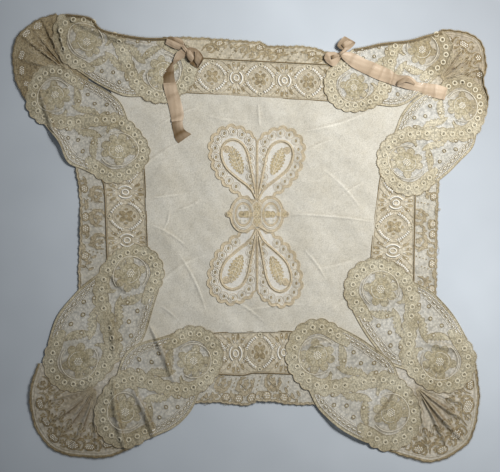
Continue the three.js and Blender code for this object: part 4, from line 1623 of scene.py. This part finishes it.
# how each lobe is stretched across and along, from the one that is drawn
lobePlaces = {"motif_lobe_top_right": (0.99, 0.97), "motif_lobe_top_left": (-1, 0.99),
              "motif_lobe_bottom_right": (0.94, -1.03), "motif_lobe_bottom_left": (-1.02, -1)}
lobeDesign = {"scallop": 14.6, "depth": 4.6, "curl": (40.5, 88.5)}


def scalloped(path, pitch, depth):
    # lobed all round but for the straight inner side
    path = path if area(path) > 0 else path[::-1]
    run = lengths(np.vstack([path, path[:1]]))
    count = round(run[-1] / pitch)
    wave = np.abs(np.sin(math.pi * count * run[:-1] / run[-1])) ** 0.6
    return sideways(path, -depth * (wave - 0.5) * np.clip((path[:, 0] - 2) / 6, 0, 1), True)


def lobePlan():
    # a scalloped lobe with a row of rings, and a drop with a spray and a curl in it
    d = lobeDesign
    outline = scalloped(smoothPath(lobeOutline, True, 1.5), d["scallop"], d["depth"])
    plan = newPlan(outline)
    plan["areas"].append((outline, 1))
    zone = evenly(sideways(outline, 3.7 - 2.3 * np.clip((6 - outline[:, 0]) / 4, 0, 1), True), True, 1.8)
    plan["areas"].append((zone, 0))
    plan["cords"] += [(outline, True, 0.44), (zone, True, 0.26)]
    row = evenly(shrunk(outline, 8.6), True, d["scallop"] * 0.86)
    for x, y in [spot for spot in row if spot[1] > 36 or spot[0] > 24]:
        plan["areas"].append((oval(x, y, 1.5, 2.2), 2))
        plan["seams"].append((oval(x, y, 1.0, 1.8), True, 0.16))
        plan["cords"].append((oval(x, y, 1.6, 2.4), True, 0.3))
        plan["pale"].append((oval(x, y, 3.5, 4.2), True, 0.5))
        plan["cords"].append((oval(x, y, 5.9), True, 0.3))
    drop = smoothPath(dropLine, step=1.5)
    plan["areas"].append((stripOf(drop, 2.4, -2.2), 1))
    plan["cords"].append((drop, False, 0.9))
    # a leafy spray inside the drop, and the curl over it
    for turn in (-1, 1):
        scrollLeaf(plan, sprayStem, turn * 9.4, 4.6, 2, 0.2)
    plan["pale"].append((smoothPath(sprayStem, step=2), False, 0.44))
    for x, y, reach in twigs:
        for side in (-1, 1):
            twig = [(x, y), spoke(x, y, 0.5 * reach, 62 + 72 * side), spoke(x, y, reach, 62 + 38 * side)]
            plan["pale"].append((smoothPath(twig, step=1.6), False, 0.4))
    x, y = d["curl"]
    curl = [(x + (5.4 - 0.6 * k) * math.cos(0.9 * k + 0.6), y + (5.4 - 0.6 * k) * math.sin(0.9 * k + 0.6))
            for k in range(9)]
    plan["areas"].append((oval(x, y, 5.2), 1))
    plan["cords"].append((smoothPath(curl, step=1.0), False, 0.5))
    return plan


# from the knot's middle to a ring's, the ring's half width and half height, and how far out a nub reaches
knotDesign = {"ring": 18.5, "wide": 18.0, "high": 24.5, "nub": 41.0}


def knotRim():
    # the outline: two rings, the crossing between them, and a nub at each side
    d = knotDesign
    rim = [(d["ring"] + d["wide"] * c, d["high"] * s) for c, s in map(cosSin, range(128, -129, -10))]
    rim = [(x, y) if abs(y) > 4.5 or x < 30 else (max(x, d["nub"] - 0.5 * abs(y)), y) for x, y in rim]
    left = [(-x, y) for x, y in reversed(rim)]
    return np.array([(0, 16.5), *rim, (0, -16.5), *left])


def knotPlan():
    # two ringed ovals side by side, with an upright leaf over their crossing
    outline = smoothPath(knotRim(), True, 1.5)
    plan = newPlan(outline)
    plan["areas"].append((outline, 1))
    plan["cords"].append((outline, True, 0.5))
    for turn in (-1, 1):
        x = knotDesign["ring"] * turn
        for wide, high, kind in ((14.6, 20.8, 0), (11.6, 16.6, 1), (9.2, 13.2, 0)):
            plan["areas"].append((oval(x, 0, wide, high), kind))
        plan["pale"] += [(oval(x, 0, 13.1, 18.8), True, 0.6), (oval(x, 0, 8, 11.6), True, 0.4)]
        plan["cords"] += [(oval(x, 0, 14.8, 21), True, 0.36), (oval(x, 0, 11.4, 16.4), True, 0.4),
                          (oval(x, 0, 9.4, 13.4), True, 0.3)]
        worked(plan, oval(turn * 13, 0, 8.6, 4.6), 0.3, 2)
        worked(plan, oval(turn * 21, 0, 3.8, 4.4), 0.3, 2)
        worked(plan, oval(turn * 38, 0, 4.6, 3.8), 0.5, 2)
        for dx, dy in ((4, 8.4), (4, -8.4), (-3, 9), (-3, -9)):
            plan["eyelets"].append((x + turn * dx, dy, 1.1))
        for y in (1, -1):
            arch = [(turn * 1.5, y * 17), (turn * 6.5, y * 12.5), (turn * 4.4, y * 5)]
            plan["pale"].append((smoothPath(arch), False, 0.5))
    worked(plan, oval(33.5, -0.4, 8.8, 3.0, -4), 0.5, 2)
    worked(plan, oval(0, -0.5, 5.2, 15.5), 0.4, 2)
    for k in range(-5, 6):
        for turn in (-1, 1) if k % 2 else (-2, 0, 2):
            if abs(turn) < 2 or abs(k) < 4:
                plan["pale"].append((oval(1.6 * turn, 2.5 * k - 0.5, 0.7, steps=5), True, 0.34))
    return plan


def motifPlace(scaleX, scaleY):
    def place(points):
        return np.array(motifMiddle) + np.asarray(points, float).reshape(-1, 2) * [scaleX, scaleY]

    return place


def motifSheet(node, plan, level):
    laceSheet(node, plan, level, ["motifNet", "motifWork", "motifGold"], "motifCord", lawnLift,
              step=1.8)


knot = moved(knotPlan(), motifPlace(1, 1))
motifSheet("motif_knot", knot, levels["knot"])
lobe = lobePlan()
for node, scales in lobePlaces.items():
    plan = moved(lobe, motifPlace(*scales))
    tuckedUnder(plan, [knot["outline"]], 3)
    motifSheet(node, plan, levels["motif"])
print("motif made")


# Ribbon bows

# Each ribbon as (x, y, height of one edge, x, y, height of the other, shade of each) along its run;
# heights are above the lace, and a shade of 1 is the ribbon's wrong side, turned from the light
ribbons = {
    "bow_left": [
        # the tail: out of the knot, twisted to its wrong side, folded over, and folded again near its end
        [(-90, 256, 5, -86, 250, 4, 0.1, 0.5), (-94, 255, 5.4, -87, 246, 3, 0, 0.35),
         (-99.5, 250.5, 4, -91.5, 243.5, 2, 0, 0.3), (-103, 242, 2.6, -97, 240, 1.6, 0.1, 0.5),
         (-104, 235, 1.2, -101.6, 236, 0.8, 0.5, 0.6)],
        [(-104, 241, 0.4, -102.4, 239, 0.6, 0.9, 0.7), (-110, 233, 0.5, -102.6, 232, 1.6, 0.95, 0.6),
         (-116.6, 223, 0.4, -102.2, 222, 2, 1, 0.7), (-117.2, 216, 0.4, -101, 215, 2, 0.95, 0.6),
         (-117, 208.6, 0.6, -99.6, 210, 1.6, 0.7, 0.55)],
        [(-117, 210.6, 1.6, -99.4, 211.4, 2.8, 0.1, 0.15), (-116.2, 205, 2.4, -98.6, 205, 2.2, 0, 0.1),
         (-114, 195, 1.6, -96.6, 198, 1.8, 0.3, 0), (-111.2, 186, 1.3, -94.3, 191, 1.3, 0.1, 0.22),
         (-108.6, 174, 1.2, -91, 179, 1.2, 0.16, 0.05), (-106.6, 165, 1.8, -89.2, 168, 1.6, 0.34, 0.1),
         (-105.6, 158.6, 2.8, -90.6, 160.2, 2.6, 0, 0)],
        [(-105.2, 159.4, 1.2, -91, 161.4, 1.6, 0.55, 0.1), (-104.6, 151, 0.8, -90.2, 152.5, 2.6, 0.9, 0.15),
         (-102.8, 143, 0.6, -86.5, 146.4, 2.4, 0.8, 0.75), (-100.4, 135, 0.6, -80.4, 143, 2.0, 0.75, 0.5),
         (-96.6, 129.6, 0.5, -79, 142, 0.8, 0.8, 0.7)],
        # lower right loop: the outer turn in shadow, the inner one curled and light
        [(-85, 258, 5, -86.5, 249, 5, 0.5, 0.6), (-77.6, 258.4, 4, -84, 241, 2, 0.75, 0.8),
         (-69.5, 255, 3, -78, 235, 1, 0.6, 0.9), (-63.6, 247, 3.4, -71.6, 231, 1.2, 0.85, 0.8),
         (-62.6, 242, 5, -69.6, 231, 3.4, 1, 0.9)],
        [(-84.6, 256, 6.4, -85.5, 247, 6, 0.1, 0.4), (-80, 253.4, 7.2, -82, 241.4, 6.6, 0, 0.6),
         (-76, 248, 7.4, -78.8, 239.4, 6.8, 0.2, 0.5), (-75.4, 243, 6.6, -78.4, 238.6, 6.2, 0.5, 0.4)],
        [(-74, 254, 6, -75, 240, 4, 0.2, 0.7), (-69, 252, 6.2, -71.8, 236, 4, 0.5, 0.35),
         (-64.4, 245.4, 6, -70.2, 232.4, 4.4, 0.4, 0.7)],
        # upper left loop, and the turn behind it
        [(-89.5, 261, 5, -90, 257, 5, 0.2, 0.5), (-95, 263.6, 5.4, -96, 255.6, 3.4, 0, 0.3),
         (-103, 267.4, 5.2, -104.6, 258.6, 3, 0, 0.15), (-110.4, 270, 4.4, -113.8, 263.6, 3, 0.05, 0),
         (-112, 271, 3, -113.4, 265, 2.4, 0.3, 0.3)],
        [(-88, 263, 4, -91, 259, 4.4, 0.6, 0.5), (-91.4, 268.6, 3.6, -96, 263.6, 3.6, 0.2, 0.6),
         (-97, 271.6, 3, -102, 266.6, 3.2, 0.1, 0.75), (-106, 272.8, 2, -108, 267.4, 2.4, 0.6, 0.95),
         (-110.6, 272.4, 1.4, -109.4, 268, 1.6, 0.8, 1)],
    ],
    "bow_right": [
        # the long tail, with a pucker standing up in it
        [(122.4, 250.6, 5, 121.4, 247, 5, 0.2, 0.4), (130, 252.8, 4, 127, 241, 2.5, 0, 0.15),
         (142, 250, 2.6, 137, 232.6, 1.4, 0.05, 0), (155.6, 243, 2.2, 149.6, 225.6, 1, 0, 0.12),
         (165, 239.4, 2.6, 159, 221.4, 1.4, 0.2, 0.05), (174, 235.4, 1.6, 168, 217, 0.8, 0, 0.1),
         (183, 231.6, 1.4, 177, 213.6, 0.8, 0.08, 0), (189.6, 228.4, 2.6, 184.6, 211, 1, 0.3, 0.12),
         (193.4, 225.6, 1.2, 190.6, 208.8, 0.8, 0.05, 0)],
        [(193, 225.8, 1.4, 190, 209, 0.8, 0, 0.1), (198, 222, 3.2, 197, 206.8, 1, 0.1, 0.1),
         (205, 220.8, 5.6, 204, 205, 1.2, 0.25, 0), (213, 220.2, 6.4, 211, 202.8, 1.2, 0, 0.05),
         (220.6, 216, 5.6, 218.6, 201, 1.2, 0.05, 0), (225.6, 212, 2.2, 226.4, 198.8, 0.8, 0.35, 0),
         (235.2, 211, 1, 234, 196, 0.7, 0.05, 0.12), (244, 209.8, 1.6, 243.6, 192.4, 0.7, 0.1, 0.2),
         (252, 208.8, 1.1, 253, 190, 1, 0, 0.1), (266.4, 204.4, 1, 262, 188, 1, 0, 0)],
        [(196.6, 209.6, 3, 198.6, 207.4, 2.6, 0.7, 0.2), (200, 214, 5.8, 203, 209.6, 5, 0.75, 0.1),
         (208, 217.6, 8, 209.6, 211.6, 6.6, 0.65, 0), (216, 215.6, 7.4, 215, 210.6, 6.2, 0.5, 0.1),
         (222.6, 209.4, 4.4, 220.6, 207.2, 4, 0.75, 0.5)],
        # left loop, seen into its middle
        [(122.6, 249.6, 3.1, 122, 245, 3.1, 0.15, 0.3), (116, 251.6, 3.5, 119, 238.6, 1.5, 0, 0.1),
         (108, 252.6, 3.4, 112.4, 233.6, 1.0, 0, 0), (102.4, 251, 3.1, 104.6, 237.6, 0.8, 0.1, 0.15),
         (99.6, 245, 2.4, 101.2, 241.4, 1.1, 0.4, 0.3)],
        [(109, 247.4, 4.5, 110.6, 242.6, 3.9, 0.8, 0.65), (113.6, 248.8, 4.9, 114.6, 244.4, 4.3, 0.5, 0.45),
         (120.6, 249.2, 4.5, 120.6, 247, 4.2, 0.3, 0.25)],
        # upper loop: a lit top and a darker inside
        [(119.6, 257.6, 2.8, 129, 253.6, 2.8, 0.5, 0.2), (117.6, 261, 3.2, 136, 257.6, 2.1, 0.65, 0.3),
         (119.4, 266, 3.8, 141.4, 263.6, 2.4, 0.6, 0.5), (124.4, 271.4, 3.5, 141, 266, 2.8, 0.4, 0.55),
         (127.4, 273.8, 2.5, 136.4, 269, 2.5, 0.3, 0.3)],
        [(123, 262, 4.8, 126.6, 257, 4.5, 0.85, 0.6), (127, 265.4, 5.2, 131.6, 261, 4.9, 0.2, 0.25),
         (131.6, 268.4, 4.6, 138.6, 265.6, 4.2, 0.45, 0.2)],
    ],
}
bowDesign = {
    "stock": 19,         # width that the ribbon was woven to
    "across": 8,         # faces across it
    "step": 1.6,
    "arch": 0.9,
    "crease": 0.5,
    "knotSteps": 12,     # faces over a knot
    "knotFoot": 3.4,
    "knotRise": 4.4,
}
# x, y, turn, half length, half width
knots = {"bow_left": (-87.4, 257.2, -52, 6.5, 3.4), "bow_right": (124, 251.6, 38, 6.4, 2.6)}


def ribbonMesh(rows):
    # a ribbon between two edge curves, a little arched between them
    across = bowDesign["across"]
    rows = np.array(rows, float)
    count = len(rows)
    fine = []
    for i in range(count - 1):
        four = [rows[min(max(k, 0), count - 1)] for k in range(i - 1, i + 3)]
        steps = max(4, int(np.hypot(*(four[2] - four[1])[:2]) / bowDesign["step"]))
        fine += [between(*four, t) for t in np.linspace(0, 1, steps + 1)[: None if i == count - 2 else -1]]
    verts, faces, shades = [], [], []
    run = 0.0
    for i, row in enumerate(fine):
        if i:
            run += math.dist((row[:3] + row[3:6]) / 2, (fine[i - 1][:3] + fine[i - 1][3:6]) / 2)
        for j in range(across + 1):
            share = j / across
            x, y, z = row[:3] * (1 - share) + row[3:6] * share
            crease = max(0.0, math.sin(run / 3.1 + 1.6 * math.sin(run / 9.7) + 1.5 * share)) ** 4
            ripple = 0.28 * math.sin(5.7 * math.pi * share + run / 7)
            arch = bowDesign["arch"] * math.sin(math.pi * share) + ripple + bowDesign["crease"] * crease
            verts.append((x * mm, y * mm, (levels["ribbon"] + max(0.1, z) + arch) * mm))
            # painted shade along each crease, which also stands a little higher
            shades.append(row[6] * (1 - share) + row[7] * share + 0.26 * crease)
        if i:
            k = (i - 1) * (across + 1)
            faces += [(k + j, k + j + 1, k + j + across + 2, k + j + across + 1) for j in range(across)]
    return verts, faces, shades


def knotMesh(x, y, turn, long, wide):
    # the band that is drawn over the middle of a bow
    over, across = bowDesign["knotSteps"], bowDesign["across"]
    verts, faces, shades = [], [], []
    c, s = cosSin(turn)
    for i in range(over + 1):
        a = math.pi * i / over
        for j in range(across + 1):
            v = (j / across - 0.5) * 2 * wide * (0.75 + 0.25 * math.cos(a) ** 2)
            u = -math.cos(a) * long * 0.9
            lift = levels["ribbon"] + bowDesign["knotFoot"] + bowDesign["knotRise"] * math.sin(a)
            lift += 0.5 * math.cos(4 * math.pi * j / across)
            verts.append(((x + u * c - v * s) * mm, (y + u * s + v * c) * mm, lift * mm))
            # painted shade, darker towards both edges of the band
            shades.append(0.1 + 0.5 * abs(2 * j / across - 1))
            if i and j:
                k = i * (across + 1) + j
                faces.append((k - across - 2, k - across - 1, k, k - 1))
    return verts, faces, shades


def bowPiece(node):
    # all the turns of one ribbon and its knot
    verts, faces, shades = [], [], []
    for more, quads, dark in [ribbonMesh(rows) for rows in ribbons[node]] + [knotMesh(*knots[node])]:
        faces += [tuple(k + len(verts) for k in quad) for quad in quads]
        verts += more
        shades += dark
    mesh = bpy.data.meshes.new(node)
    mesh.from_pydata(verts, [], faces)
    mesh.materials.append(finishOf["ribbon"])
    mesh.polygons.foreach_set("use_smooth", np.ones(len(faces), bool))
    # painted shade of the ribbon: its wrong side turned from the light, and its creases
    setAttribute(mesh, "fold", np.clip(shades, 0, 1))
    mesh.validate()
    mesh.update()
    obj = newObject(node + "_ribbon", mesh)
    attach(obj, "root")
    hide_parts(node)


for node in ribbons:
    bowPiece(node)
print("bows made")


# Floor, lamp and camera

stageDesign = {
    "floor": 6.0,                       # half its width, in metres
    "paper": [(192, 200, 209), (201, 209, 218)],
    "dim": (120, 124, 130),             # where the lamp's light falls off
    "dimFrom": 0.32,
    "dimTo": 0.68,
    "dimAmount": 0.64,
    "lamp": (0.95, 0.685, 1.37),        # metres
    "aim": (0.40, 0.247, 0),
    "power": 169,
    "cone": 57.6,
    "lampColour": (1.0, 0.985, 0.955),
    "lampSize": 0.3,
    "skyColour": (0.93, 0.97, 1.0, 1),
    "sky": 0.135,
    "viewWidth": 675,
    "distance": 2.4,                    # metres
    "shift": (-0.0014, 0.0022),
}


def floorPiece():
    d = stageDesign
    size, low = d["floor"], lowCorner[2] - 0.1 * mm
    mesh = bpy.data.meshes.new("floor")
    mesh.from_pydata([(-size, -size, low), (size, -size, low), (size, size, low), (-size, size, low)], [],
                     [(0, 1, 2, 3)])
    material, tree, shader = newMaterial("floor", {"Roughness": 0.9})
    place = nodeOf(tree, "ShaderNodeTexCoord", {}).outputs["Object"]
    ramp = nodeOf(tree, "ShaderNodeValToRGB", {"Fac": noise(tree, place, 9)})
    for element, position, colour in zip(ramp.color_ramp.elements, (0.25, 0.75), d["paper"]):
        element.position = position
        element.color = tint(*colour)
    split = nodeOf(tree, "ShaderNodeSeparateXYZ", {"Vector": place}).outputs
    # painted shade: the floor is darkened towards the far top right, where the lamp's light falls off
    far = added(tree, split["X"], 1.3, split["Y"], 0.8)
    corner = nodeOf(tree, "ShaderNodeMapRange", {"Value": far, "From Min": d["dimFrom"],
                                                 "From Max": d["dimTo"], "To Max": d["dimAmount"]})
    dimmed = mixed(tree, corner.outputs["Result"], ramp.outputs["Color"], tint(*d["dim"]))
    setInputs(tree, shader, {"Base Color": dimmed})
    mesh.materials.append(material)
    newObject("floor", mesh)


def lampPiece():
    d = stageDesign
    key = bpy.data.lights.new("key", "SPOT")
    key.energy = d["power"]
    key.color = d["lampColour"]
    key.spot_size = math.radians(d["cone"])
    key.spot_blend = 1.0
    key.shadow_soft_size = d["lampSize"]
    lamp = newObject("key", key)
    lamp.location = d["lamp"]
    lamp.rotation_euler = (Vector(d["aim"]) - lamp.location).to_track_quat("-Z", "Y").to_euler()
    world = bpy.data.worlds.new("world")
    bpy.context.scene.world = world
    world.use_nodes = True
    sky = world.node_tree.nodes["Background"]
    setInputs(world.node_tree, sky, {"Color": d["skyColour"], "Strength": d["sky"]})


def cameraPiece():
    d = stageDesign
    camera = bpy.data.cameras.new("camera")
    camera.sensor_width = 36
    camera.lens = 36 * d["distance"] / (d["viewWidth"] * mm)
    camera.clip_end = 20
    eye = newObject("camera", camera)
    middle = (lowCorner + highCorner) / 2
    eye.location = (middle[0] + d["shift"][0], middle[1] + d["shift"][1], d["distance"])
    bpy.context.scene.camera = eye
    bpy.context.scene.view_settings.view_transform = "Standard"


floorPiece()
lampPiece()
cameraPiece()

print("scene done")
